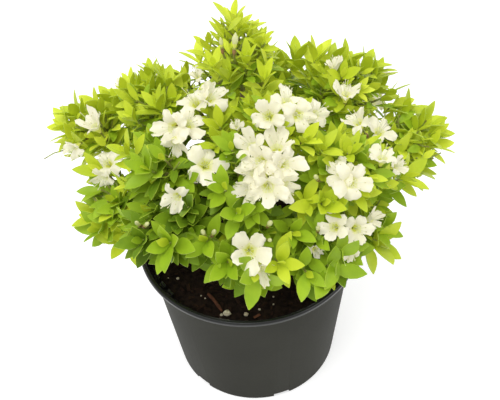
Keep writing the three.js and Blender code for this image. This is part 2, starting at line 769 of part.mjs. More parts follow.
const plans = [];
const allBlooms = [];
MASSES.forEach((mass, place) => {
  const seed = SEED + SEED_STEP * place;
  const plan = planMass(mass, limbs.get(mass.name), [...limbs.values()], allBlooms, seed);
  plans.push(plan);
  allBlooms.push(...plan.blooms);
});
for (const plan of plans) {
  const othersBlooms = allBlooms.filter((bloom) => !plan.blooms.includes(bloom));
  azalea.add(meshOf(`foliage_${plan.mass.name}`, makeMass(plan, othersBlooms), "foliage"));
}

export default azalea;
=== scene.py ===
"""The looks of a white-flowering garden azalea in its round nursery pot.

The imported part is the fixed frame. A finer piece stands for each of its solids, in the same place:
the pot, the potting mix, the trunk with its boughs, and the masses of foliage, which grow by the
same rule on to finer twigs. Sizes are millimetres in the part's frame: +Z is up, -Y is the front,
and a bearing is a direction seen from above, 0 at the front and growing towards +X.
"""

from __future__ import annotations

import json
import logging
import math
from collections.abc import Callable, Iterator, Sequence
from dataclasses import dataclass, field, replace
from enum import Enum
from typing import NamedTuple

import bpy
import numpy as np
from mathutils import Matrix, Vector, noise

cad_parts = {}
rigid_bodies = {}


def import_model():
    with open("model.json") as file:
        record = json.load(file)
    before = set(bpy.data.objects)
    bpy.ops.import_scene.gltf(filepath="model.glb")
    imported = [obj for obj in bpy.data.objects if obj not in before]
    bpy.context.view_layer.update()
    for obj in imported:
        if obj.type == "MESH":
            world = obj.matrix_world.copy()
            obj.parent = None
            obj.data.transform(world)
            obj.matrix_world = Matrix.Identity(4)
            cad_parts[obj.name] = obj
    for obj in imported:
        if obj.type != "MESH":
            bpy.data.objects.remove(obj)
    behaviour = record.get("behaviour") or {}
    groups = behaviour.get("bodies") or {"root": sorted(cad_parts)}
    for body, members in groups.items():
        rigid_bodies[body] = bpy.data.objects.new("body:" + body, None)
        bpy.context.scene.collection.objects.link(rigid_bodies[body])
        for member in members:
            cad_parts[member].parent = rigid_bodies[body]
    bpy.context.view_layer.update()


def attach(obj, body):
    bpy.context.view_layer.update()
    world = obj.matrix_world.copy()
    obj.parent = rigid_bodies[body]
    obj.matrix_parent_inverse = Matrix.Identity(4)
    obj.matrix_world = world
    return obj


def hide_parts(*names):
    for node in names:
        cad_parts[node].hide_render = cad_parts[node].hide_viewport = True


LOG = logging.getLogger("azalea")
BODY = "root"
MM = 0.001
UP = Vector((0.0, 0.0, 1.0))
Colour = tuple[float, float, float]
Faces = list[tuple[int, ...]]
Rings = tuple[tuple[float, float], ...]


def direction(bearing: float, lift: float = 0.0) -> Vector:
    """Gives the unit vector of a bearing and a lift above the level.

    Args:
        bearing: Degrees round the plant, seen from above.
        lift: Degrees above the level.

    Returns:
        The unit vector.
    """
    turn = math.radians(bearing)
    rise = math.radians(lift)
    level = math.cos(rise)
    return Vector((math.sin(turn) * level, -math.cos(turn) * level, math.sin(rise)))


def across_from(line: Vector) -> tuple[Vector, Vector]:
    """Gives two unit vectors at right angles to a line.

    Args:
        line: A unit vector.

    Returns:
        A level vector beside the line, and the one across both.
    """
    side = line.cross(UP)
    if side.length < 1e-3:
        side = Vector((1.0, 0.0, 0.0))
    side.normalize()
    return side, line.cross(side).normalized()


def spoke(side: Vector, over: Vector, angle: float) -> Vector:
    """Gives the unit vector at an angle in radians from one vector towards another."""
    return side * math.cos(angle) + over * math.sin(angle)


def deselect() -> None:
    """Leaves edit mode and selects nothing."""
    if bpy.context.mode != "OBJECT":
        bpy.ops.object.mode_set(mode="OBJECT")
    bpy.ops.object.select_all(action="DESELECT")


def pick(*pieces: bpy.types.Object) -> None:
    """Selects these objects alone, with the first of them active.

    Args:
        pieces: The objects to select.
    """
    deselect()
    for piece in pieces:
        piece.select_set(True)
    bpy.context.view_layer.objects.active = pieces[0]


def apply_modifiers(piece: bpy.types.Object) -> None:
    """Applies all of an object's modifiers in their order.

    Args:
        piece: The object to finish.
    """
    pick(piece)
    for name in [modifier.name for modifier in piece.modifiers]:
        bpy.ops.object.modifier_apply(modifier=name)


def thicken(sheet: bpy.types.Object, thickness: float) -> None:
    """Gives a thin sheet its thickness, on its lower side.

    Args:
        sheet: The sheet.
        thickness: The thickness in the sheet's own units.
    """
    thick = sheet.modifiers.new("thickness", "SOLIDIFY")
    thick.thickness = thickness
    thick.offset = -1.0
    apply_modifiers(sheet)


class Draws:
    """Seeded draws from 0 to 1, the same on every run."""

    def __init__(self, seed: int) -> None:
        """Starts the draws from a whole number over 0."""
        self.state = seed

    def __call__(self) -> float:
        """Gives the next draw from 0 to 1."""
        self.state = (self.state * 16807) % 2147483647
        return self.state / 2147483647

    def between(self, low: float, high: float) -> float:
        """Gives a draw between two numbers."""
        return low + (high - low) * self()


@dataclass(frozen=True)
class Finish:
    """A surface finish: patches of a second shade, a fine grain and a soft gloss.

    Attributes:
        name: The material's name.
        colour: The main colour.
        shade: The colour of its patches.
        patch: Patches per metre.
        grain: Grains per metre.
        relief: The depth of the grain in millimetres.
        roughness: The least and the greatest roughness.
        subsurface: The share of light that passes under the surface.
        depth: How far that light spreads, in millimetres.
        gloss: The specular level.
        glow: The strength of its own light, on leaves and petals a painted light for light shining
            through.
        edges: Where in the noise the shade ends and the main colour starts.
        details: The levels of detail of the patches and of the grain.
    """

    name: str
    colour: Colour
    shade: Colour
    patch: float = 60.0
    grain: float = 700.0
    relief: float = 0.05
    roughness: tuple[float, float] = (0.4, 0.6)
    subsurface: float = 0.0
    depth: float = 2.0
    gloss: float = 0.5
    glow: float = 0.0
    edges: tuple[float, float] = (0.36, 0.6)
    details: tuple[float, float] = (3.0, 2.0)

    def material(self) -> bpy.types.Material:
        """Makes the material, once.

        Returns:
            The material.
        """
        found = bpy.data.materials.get(self.name)
        if found:
            return found
        made = bpy.data.materials.new(self.name)
        made.use_nodes = True
        tree = made.node_tree
        shader = tree.nodes["Principled BSDF"]
        place = tree.nodes.new("ShaderNodeTexCoord")
        patches = self.noise(tree, place, self.patch, self.details[0])
        blend = tree.nodes.new("ShaderNodeValToRGB")
        blend.color_ramp.elements[0].position = self.edges[0]
        blend.color_ramp.elements[0].color = (*self.shade, 1.0)
        blend.color_ramp.elements[1].position = self.edges[1]
        blend.color_ramp.elements[1].color = (*self.colour, 1.0)
        tree.links.new(patches.outputs["Fac"], blend.inputs["Fac"])
        tree.links.new(blend.outputs["Color"], shader.inputs["Base Color"])
        grains = self.noise(tree, place, self.grain, self.details[1])
        polish = tree.nodes.new("ShaderNodeMapRange")
        polish.inputs["To Min"].default_value = self.roughness[0]
        polish.inputs["To Max"].default_value = self.roughness[1]
        tree.links.new(grains.outputs["Fac"], polish.inputs["Value"])
        tree.links.new(polish.outputs["Result"], shader.inputs["Roughness"])
        bump = tree.nodes.new("ShaderNodeBump")
        bump.inputs["Distance"].default_value = self.relief * MM
        tree.links.new(grains.outputs["Fac"], bump.inputs["Height"])
        tree.links.new(bump.outputs["Normal"], shader.inputs["Normal"])
        shader.inputs["Specular IOR Level"].default_value = self.gloss
        shader.inputs["Emission Color"].default_value = (*self.colour, 1.0)
        shader.inputs["Emission Strength"].default_value = self.glow
        shader.inputs["Subsurface Weight"].default_value = self.subsurface
        shader.inputs["Subsurface Scale"].default_value = self.depth * MM
        shader.inputs["Subsurface Radius"].default_value = (1.0, 1.0, 0.5)
        return made

    def noise(
        self, tree: bpy.types.NodeTree, place: bpy.types.Node, scale: float, detail: float
    ) -> bpy.types.Node:
        """Adds a noise pattern in the object's own space.

        Args:
            tree: The material's nodes.
            place: The texture coordinates.
            scale: The pattern's repeats per metre.
            detail: The pattern's levels of detail.

        Returns:
            The noise node.
        """
        pattern = tree.nodes.new("ShaderNodeTexNoise")
        pattern.inputs["Scale"].default_value = scale
        pattern.inputs["Detail"].default_value = detail
        tree.links.new(place.outputs["Object"], pattern.inputs["Vector"])
        return pattern


class Tint(Enum):
    """The leaf greens, from the youngest leaves to the darkest: partly the leaves' age, partly
    painted light and shade, lighter where light falls on the crown and darker where it lies in
    shade.
    """

    # The glow of the young, lime and fresh greens is painted light, standing in for light shining
    # through the leaves.
    YOUNG = Finish("leaf_young", (0.58, 0.66, 0.045), (0.5, 0.59, 0.03), roughness=(0.4, 0.55),
                   subsurface=0.15, relief=0.04, gloss=0.25, glow=0.1)
    LIME = Finish("leaf_lime", (0.47, 0.56, 0.026), (0.37, 0.47, 0.02), roughness=(0.4, 0.55),
                  subsurface=0.15, relief=0.04, gloss=0.25, glow=0.09)
    FRESH = Finish("leaf_fresh", (0.29, 0.43, 0.018), (0.22, 0.35, 0.014), roughness=(0.38, 0.52),
                   subsurface=0.12, relief=0.04, gloss=0.2, glow=0.06)
    GREEN = Finish("leaf_green", (0.175, 0.285, 0.012), (0.125, 0.22, 0.01), roughness=(0.4, 0.55),
                   subsurface=0.1, relief=0.04, gloss=0.14)
    DEEP = Finish("leaf_deep", (0.1, 0.18, 0.008), (0.07, 0.13, 0.006), roughness=(0.4, 0.55),
                  subsurface=0.1, relief=0.04, gloss=0.12)


# The leaves' edge faces take a lighter green with a faint glow: a painted highlight along each
# leaf's edge.
LEAF_EDGE_HIGHLIGHT = Finish("leaf_rim", (0.38, 0.5, 0.04), (0.3, 0.42, 0.03), subsurface=0.1, glow=0.04)
# The petals, their bases and throats, and the buds glow: painted light that stands in for light
# shining through them and lightens their shaded parts.
PETAL = Finish("petal_white", (0.61, 0.585, 0.45), (0.57, 0.55, 0.39), patch=120, grain=500,
               relief=0.03, roughness=(0.5, 0.65), subsurface=0.15, depth=1.5, gloss=0.25,
               glow=0.38)
THROAT = replace(PETAL, name="petal_throat", colour=(0.52, 0.53, 0.11), shade=(0.46, 0.5, 0.08),
                 patch=300)
PALE_BASE = replace(PETAL, name="petal_base", colour=(0.59, 0.585, 0.33),
                    shade=(0.55, 0.56, 0.27), patch=300)
BUD = replace(PETAL, name="bud_petal", colour=(0.54, 0.55, 0.27), shade=(0.47, 0.5, 0.19),
              patch=300, gloss=0.2, glow=0.15)
FILAMENT = Finish("filament", (0.75, 0.78, 0.55), (0.7, 0.74, 0.45), roughness=(0.4, 0.5),
                  subsurface=0.2)
ANTHER = Finish("anther", (0.7, 0.68, 0.4), (0.6, 0.56, 0.3), roughness=(0.6, 0.8))
YOUNG_TWIG = Finish("young_twig", (0.3, 0.36, 0.07), (0.22, 0.2, 0.05), patch=200,
                    roughness=(0.5, 0.7))
BUD_SCALE = Finish("bud_scale", (0.27, 0.15, 0.05), (0.18, 0.1, 0.03), patch=300,
                   roughness=(0.5, 0.7))
BARK = Finish("bark", (0.24, 0.16, 0.1), (0.12, 0.08, 0.05), patch=180, grain=900, relief=0.4,
              roughness=(0.75, 0.95), gloss=0.2)
PLASTIC = Finish("pot_plastic", (0.036, 0.036, 0.029), (0.031, 0.031, 0.025), patch=14, grain=900,
                 relief=0.03, roughness=(0.45, 0.55), gloss=0.02)
# The rim and the inside of the wall take this plastic: its darker colour is painted shade, its gloss
# and low roughness are the rim's own.
SHADED_RIM_PLASTIC = Finish("shaded_rim_plastic", (0.012, 0.013, 0.012), (0.01, 0.011, 0.01), patch=14,
                     grain=900, relief=0.02, roughness=(0.16, 0.24), gloss=0.5)
MIX = Finish("potting_mix", (0.022, 0.013, 0.009), (0.008, 0.005, 0.004), patch=220, grain=1400,
             relief=0.8, roughness=(0.85, 1.0), gloss=0.1)
CHIP = Finish("bark_chip", (0.03, 0.015, 0.009), (0.011, 0.007, 0.005), patch=160, grain=1200,
              relief=0.4, roughness=(0.75, 0.95), gloss=0.1)
RED_CHIP = Finish("red_bark", (0.14, 0.055, 0.03), (0.08, 0.035, 0.02), patch=300, grain=1200,
                  relief=0.4, roughness=(0.75, 0.95), gloss=0.1)
PERLITE = Finish("perlite", (0.72, 0.66, 0.5), (0.5, 0.42, 0.28), patch=300, grain=1500,
                 relief=0.3, roughness=(0.8, 0.95), gloss=0.2)
PALE_FLOOR = Finish("pale_floor", (0.7, 0.7, 0.7), (0.69, 0.69, 0.69), patch=2, grain=60,
                    relief=0.05, roughness=(0.7, 0.8), gloss=0.1, glow=0.72)


@dataclass
class Template:
    """A small shape that is modelled once and copied.

    Attributes:
        points: Its corners, one row each: across, along and up.
        faces: Its faces, as rows of corner numbers.
    """

    points: np.ndarray
    faces: Faces

    @classmethod
    def taken_from(cls, piece: bpy.types.Object) -> Template:
        """Reads a modelled shape and removes its object.

        Args:
            piece: The object, with its modifiers applied.

        Returns:
            The template.
        """
        points = np.array([tuple(corner.co) for corner in piece.data.vertices])
        faces = [tuple(face.vertices) for face in piece.data.polygons]
        bpy.data.objects.remove(piece)
        return cls(points, faces)

    def heights(self) -> list[float]:
        """Gives the height of each face's middle."""
        return [float(np.mean(self.points[list(face), 2])) for face in self.faces]


@dataclass
class Gathering:
    """Copies of small shapes, gathered to be joined as one piece.

    Attributes:
        name: The piece's name.
        finishes: Its finishes, by slot.
        crease: Edges sharper than this many degrees stay sharp.
    """

    name: str
    finishes: Sequence[Finish]
    crease: float = 40.0
    points: list[np.ndarray] = field(default_factory=list)
    faces: Faces = field(default_factory=list)
    slots: list[int] = field(default_factory=list)
    count: int = 0

    def add(self, points: np.ndarray, faces: Faces, slots: int | Sequence[int] = 0) -> None:
        """Adds one copy.

        Args:
            points: The copy's corners in millimetres.
            faces: Its faces.
            slots: The finish's slot, for all faces or for each of them.
        """
        start = self.count
        self.points.append(points)
        self.faces.extend(tuple(start + corner for corner in face) for face in faces)
        self.slots.extend([slots] * len(faces) if isinstance(slots, int) else slots)
        self.count += len(points)

    def take(self, shape: Template, slot: int = 0) -> None:
        """Adds a shape that lies in its place, with the finish of one slot."""
        self.add(shape.points, shape.faces, slot)

    def piece(self) -> bpy.types.Object:
        """Joins the copies.

        Returns:
            The piece, smooth but for its creases.
        """
        mesh = bpy.data.meshes.new(self.name)
        mesh.from_pydata(np.concatenate(self.points) * MM, [], self.faces)
        for finish in self.finishes:
            mesh.materials.append(finish.material())
        mesh.polygons.foreach_set("material_index", self.slots)
        mesh.polygons.foreach_set("use_smooth", [True] * len(self.faces))
        mesh.update()
        mesh.set_sharp_from_angle(angle=math.radians(self.crease))
        made = bpy.data.objects.new(self.name, mesh)
        bpy.context.scene.collection.objects.link(made)
        return made


def hand_over(piece: bpy.types.Object, nodes: Sequence[str] = ()) -> bpy.types.Object:
    """Puts a finished piece on the plant in place of its solids.

    Args:
        piece: The finished piece.
        nodes: The solids that it stands for.

    Returns:
        The same piece.
    """
    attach(piece, BODY)
    if nodes:
        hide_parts(*nodes)
    LOG.info("%s: %d faces", piece.name, len(piece.data.polygons))
    return piece


def tube(line: Sequence[Vector], radii: Sequence[float], sides: int) -> Template:
    """Makes a closed tube along a line of points.

    Args:
        line: The points of its middle.
        radii: Its radius at each point.
        sides: The number of its sides.

    Returns:
        The tube's corners and faces.
    """
    ways = [(line[min(i + 1, len(line) - 1)] - line[max(i - 1, 0)]).normalized()
            for i in range(len(line))]
    side = across_from(ways[0])[0]
    corners = []
    for middle, way, radius in zip(line, ways, radii):
        side = (side - way * side.dot(way)).normalized()
        over = way.cross(side)
        for i in range(sides):
            corners.append(middle + radius * spoke(side, over, 2.0 * math.pi * i / sides))
    faces: Faces = [tuple(range(sides))[::-1]]
    for ring in range(len(line) - 1):
        start = ring * sides
        for i in range(sides):
            after = (i + 1) % sides
            faces.append((start + i, start + after, start + after + sides, start + i + sides))
    last = (len(line) - 1) * sides
    faces.append(tuple(range(last, last + sides)))
    return Template(np.array([tuple(corner) for corner in corners]), faces)


def ringed(place: Callable[[float], Vector], rings: Rings, sides: int) -> Template:
    """Makes a closed tube through rings, which each have what place takes and a radius."""
    return tube([place(at) for at, _ in rings], [radius for _, radius in rings], sides)


def turned(name: str, profile: Sequence[tuple[float, float]], segments: int) -> bpy.types.Object:
    """Draws a disc out along a profile, as on a lathe, into one closed shape.

    Args:
        name: The new object's name.
        profile: Rings of radius and height, in millimetres.
        segments: The corners of each ring.

    Returns:
        The new object.
    """
    deselect()
    radius, height = profile[0]
    bpy.ops.mesh.primitive_circle_add(
        vertices=segments, radius=radius * MM, fill_type="NGON", location=(0, 0, height * MM)
    )
    shape = bpy.context.object
    shape.name = name
    bpy.ops.object.transform_apply(location=True, rotation=True, scale=True)
    bpy.ops.object.mode_set(mode="EDIT")
    bpy.ops.mesh.select_all(action="SELECT")
    for next_radius, next_height in profile[1:]:
        rise = (next_height - height) * MM
        bpy.ops.mesh.extrude_region_move(TRANSFORM_OT_translate={"value": (0, 0, rise)})
        share = next_radius / radius
        bpy.ops.transform.resize(
            value=(share, share, 1), center_override=(0, 0, next_height * MM)
        )
        radius, height = next_radius, next_height
    bpy.ops.mesh.select_all(action="SELECT")
    bpy.ops.mesh.normals_make_consistent(inside=False)
    bpy.ops.object.mode_set(mode="OBJECT")
    return shape


class Pixel(NamedTuple):
    """A place in the photo, from its top left corner."""

    column: float
    row: float


@dataclass(frozen=True)
class PhotoView:
    """How the photo sees the plant.

    Attributes:
        place: Where the camera stands, in metres.
        ahead: The way that it looks.
        roll: Its roll in degrees.
        middle: The picture's middle.
        zoom: The width in pixels of a thing that is as wide as it is far away.
        outline: The share of a mass's reach where a line of sight meets it.
    """

    place: tuple[float, float, float] = (0.0024, -0.4551, 0.6574)
    ahead: tuple[float, float, float] = (0.0, 0.695, -0.719)
    roll: float = -3.99
    middle: Pixel = Pixel(250.0, 200.0)
    zoom: float = 800.0
    outline: float = 1.02

    @property
    def eye(self) -> Vector:
        """Gives where the camera stands, in millimetres."""
        return Vector(self.place) / MM

    @property
    def axes(self) -> tuple[Vector, Vector, Vector]:
        """Gives the ways to the picture's right, to its top and into it."""
        ahead = Vector(self.ahead).normalized()
        right = Vector((1.0, 0.0, 0.0))
        up = right.cross(ahead)
        roll = math.radians(self.roll)
        turned_right = right * math.cos(roll) + up * math.sin(roll)
        turned_up = up * math.cos(roll) - right * math.sin(roll)
        return turned_right, turned_up, ahead

    def sight(self, pixel: Pixel) -> Vector:
        """Gives the line of sight through a place in the photo.

        Args:
            pixel: The place.

        Returns:
            The unit vector.
        """
        right, up, ahead = self.axes
        across = (pixel.column - self.middle.column) / self.zoom
        down = (pixel.row - self.middle.row) / self.zoom
        return (ahead + right * across - up * down).normalized()

    def distance_to(self, mass: Mass, sight: Vector) -> float:
        """Gives how far along a line of sight the outline of a mass lies.

        Args:
            mass: The mass.
            sight: The line of sight.

        Returns:
            The distance in millimetres, infinite where it misses the mass.
        """
        radii = np.array((mass.half_width, mass.half_width, mass.half_height)) * self.outline
        start = np.array(self.eye - mass.middle) / radii
        step = np.array(sight) / radii
        half = start @ step
        inside = half**2 - (step @ step) * (start @ start - 1.0)
        return float((-half - math.sqrt(inside)) / (step @ step)) if inside > 0.0 else math.inf

    def on_level(self, pixel: Pixel, height: float) -> Vector:
        """Finds the point that the photo shows at a pixel, if it lies at this height."""
        sight = self.sight(pixel)
        return self.eye + sight * ((height - self.eye.z) / sight.z)

    def crown_at(self, pixel: Pixel, behind: float) -> tuple[Mass, Vector]:
        """Finds a point just behind the crown's outline.

        Args:
            pixel: Where the photo shows it.
            behind: How far it lies behind the outline, in millimetres.

        Returns:
            The mass that it lies in and the point.
        """
        sight = self.sight(pixel)
        distance = min(self.distance_to(mass, sight) for mass in MASSES)
        point = self.eye + sight * (distance + behind)
        return min(MASSES, key=lambda mass: mass.share_at(point)), point

    def beside(self, mass: Mass, pixel: Pixel) -> Vector:
        """Finds the point that the photo shows at a pixel, if it is as far away as a mass."""
        sight = self.sight(pixel)
        return self.eye + sight * (mass.middle - self.eye).dot(sight)


@dataclass
class NurseryPot:
    """The round plastic pot: a tapering wall under a rolled rim, with drain slots at its foot.

    Attributes are millimetres, degrees or counts: the sizes of the part's own pot, and the finer
    forms of its rim and its underside.
    """

    height: float = 147.0
    rim_radius: float = 95.0
    rim_depth: float = 4.7
    rim_round: float = 1.3
    lip_radius: float = 91.0
    shoulder_radius: float = 88.0
    base_radius: float = 74.5
    hub_radius: float = 20.0
    recess: float = 0.9
    recess_margin: float = 12.0
    foot_round: float = 1.5
    wall: float = 2.0
    floor: float = 2.8
    segments: int = 120
    edge_round: float = 0.35
    smooth_angle: float = 35.0
    collar_depth: float = 9.0
    collar_proud: float = 0.9
    lip_round: float = 0.7
    mouth_depth: float = 8.0
    drain_count: int = 6
    drain_bearing: float = 15.0
    drain_width: float = 15.0
    drain_height: float = 5.0
    drain_depth: float = 9.0
    lug_width: float = 6.5
    lug_height: float = 8.0
    lug_proud: float = 0.9
    lug_round: float = 0.3
    lug_below: float = 2.0
    lug_bearings: tuple[float, ...] = (-66.0, -59.0, -52.0, 54.0, 61.0, 68.0, 174.0, 181.0, 188.0)

    def inner_radius(self, height: float) -> float:
        """Gives the inner radius of the wall at a height.

        Args:
            height: Millimetres above the underside.

        Returns:
            The radius in millimetres.
        """
        shoulder = self.height - self.rim_depth
        slope = (self.shoulder_radius - self.base_radius) / shoulder
        return self.base_radius - self.wall + slope * min(height, shoulder)

    def profile(self) -> list[tuple[float, float]]:
        """Gives the pot's rings, from the underside round the rim to the inner floor."""
        shoulder = self.height - self.rim_depth
        collar = shoulder - self.collar_depth
        slope = (self.shoulder_radius - self.base_radius) / shoulder
        collar_radius = self.base_radius + slope * collar
        mouth = self.inner_radius(shoulder)
        return [
            (self.hub_radius, self.recess),
            (self.base_radius - self.recess_margin, self.recess),
            (self.base_radius - self.recess_margin + self.foot_round, 0.0),
            (self.base_radius - self.foot_round, 0.0),
            (self.base_radius, self.foot_round),
            (collar_radius, collar),
            (collar_radius + self.collar_proud, collar + 0.5),
            (self.shoulder_radius + self.collar_proud, shoulder - 0.6),
            (self.shoulder_radius + self.collar_proud, shoulder),
            (self.rim_radius - self.rim_round, shoulder),
            (self.rim_radius, shoulder + self.rim_round),
            (self.rim_radius, self.height - self.rim_round),
            (self.rim_radius - self.rim_round, self.height),
            (self.lip_radius + self.lip_round, self.height),
            (self.lip_radius, self.height - self.lip_round),
            (mouth + 0.6, shoulder - 2.0),
            (self.inner_radius(shoulder - self.mouth_depth), shoulder - self.mouth_depth),
            (self.inner_radius(self.floor), self.floor),
            (self.hub_radius, self.floor),
        ]

    def cut_drains(self, pot: bpy.types.Object) -> None:
        """Cuts the drain slots out of the foot.

        Args:
            pot: The turned pot.
        """
        cutters = []
        for i in range(self.drain_count):
            bearing = self.drain_bearing + 360.0 / self.drain_count * i
            deselect()
            bpy.ops.mesh.primitive_cube_add(
                size=1,
                location=direction(bearing) * self.base_radius * MM,
                rotation=(0, 0, math.radians(bearing)),
                scale=(self.drain_width * MM, 2 * self.drain_depth * MM,
                       2 * self.drain_height * MM),
            )
            cutters.append(bpy.context.object)
        pick(*cutters)
        bpy.ops.object.join()
        bpy.ops.object.transform_apply(location=True, rotation=True, scale=True)
        cutter = bpy.context.object
        cut = pot.modifiers.new("drains", "BOOLEAN")
        cut.operation = "DIFFERENCE"
        cut.solver = "EXACT"
        cut.object = cutter
        apply_modifiers(pot)
        bpy.data.objects.remove(cutter)

    def add_lugs(self, pot: bpy.types.Object) -> None:
        """Adds the small lugs inside the rim, which keep stacked pots apart.

        Args:
            pot: The turned pot.
        """
        top = self.height - self.rim_depth - self.lug_below
        lugs = []
        for bearing in self.lug_bearings:
            deselect()
            middle = direction(bearing) * self.inner_radius(top - self.lug_height / 2)
            middle.z = top - self.lug_height / 2
            bpy.ops.mesh.primitive_cube_add(
                size=1,
                location=middle * MM,
                rotation=(0, 0, math.radians(bearing)),
                scale=(self.lug_width * MM, 2 * self.lug_proud * MM, self.lug_height * MM),
            )
            lug = bpy.context.object
            bpy.ops.object.transform_apply(location=True, rotation=True, scale=True)
            soft = lug.modifiers.new("soft_edges", "BEVEL")
            soft.width = self.lug_round * MM
            soft.segments = 2
            apply_modifiers(lug)
            lugs.append(lug)
        pick(pot, *lugs)
        bpy.ops.object.join()

    def build(self) -> bpy.types.Object:
        """Models the pot.

        Returns:
            The finished piece.
        """
        pot = turned("nursery_pot", self.profile(), self.segments)
        self.cut_drains(pot)
        soft = pot.modifiers.new("soft_edges", "BEVEL")
        soft.width = self.edge_round * MM
        soft.segments = 2
        soft.limit_method = "ANGLE"
        soft.angle_limit = math.radians(25)
        soft.harden_normals = False
        apply_modifiers(pot)
        self.add_lugs(pot)
        pick(pot)
        bpy.ops.object.shade_smooth_by_angle(angle=math.radians(self.smooth_angle))
        pot.data.materials.clear()
        pot.data.materials.append(PLASTIC.material())
        pot.data.materials.append(SHADED_RIM_PLASTIC.material())
        # The rim and the inner wall with its lugs take the second finish, whose darker colour is
        # painted shade.
        foot_of_rim = (self.height - self.rim_depth - 0.3) * MM
        for face in pot.data.polygons:
            inside = face.center.xy.length < self.inner_radius(face.center.z / MM) * MM + 1e-4
            if face.center.z > foot_of_rim or inside and face.center.z > 0.05:
                face.material_index = 1
        return hand_over(pot, ["pot"])


def uneven(points: np.ndarray, middle: Vector, depth: float, rate: float) -> np.ndarray:
    """Makes a shape's corners uneven by the noise at its middle, of this depth and rate."""
    swells = [noise.noise(Vector(point) * rate + middle) for point in points]
    return points * (1.0 + depth * np.array(swells))[:, None]


@dataclass(frozen=True)
class Strewing:
    """How many lumps of a kind lie on the mix, with the ranges of their size and stretch."""

    count: int
    sizes: tuple[float, float]
    stretch: tuple[float, float]


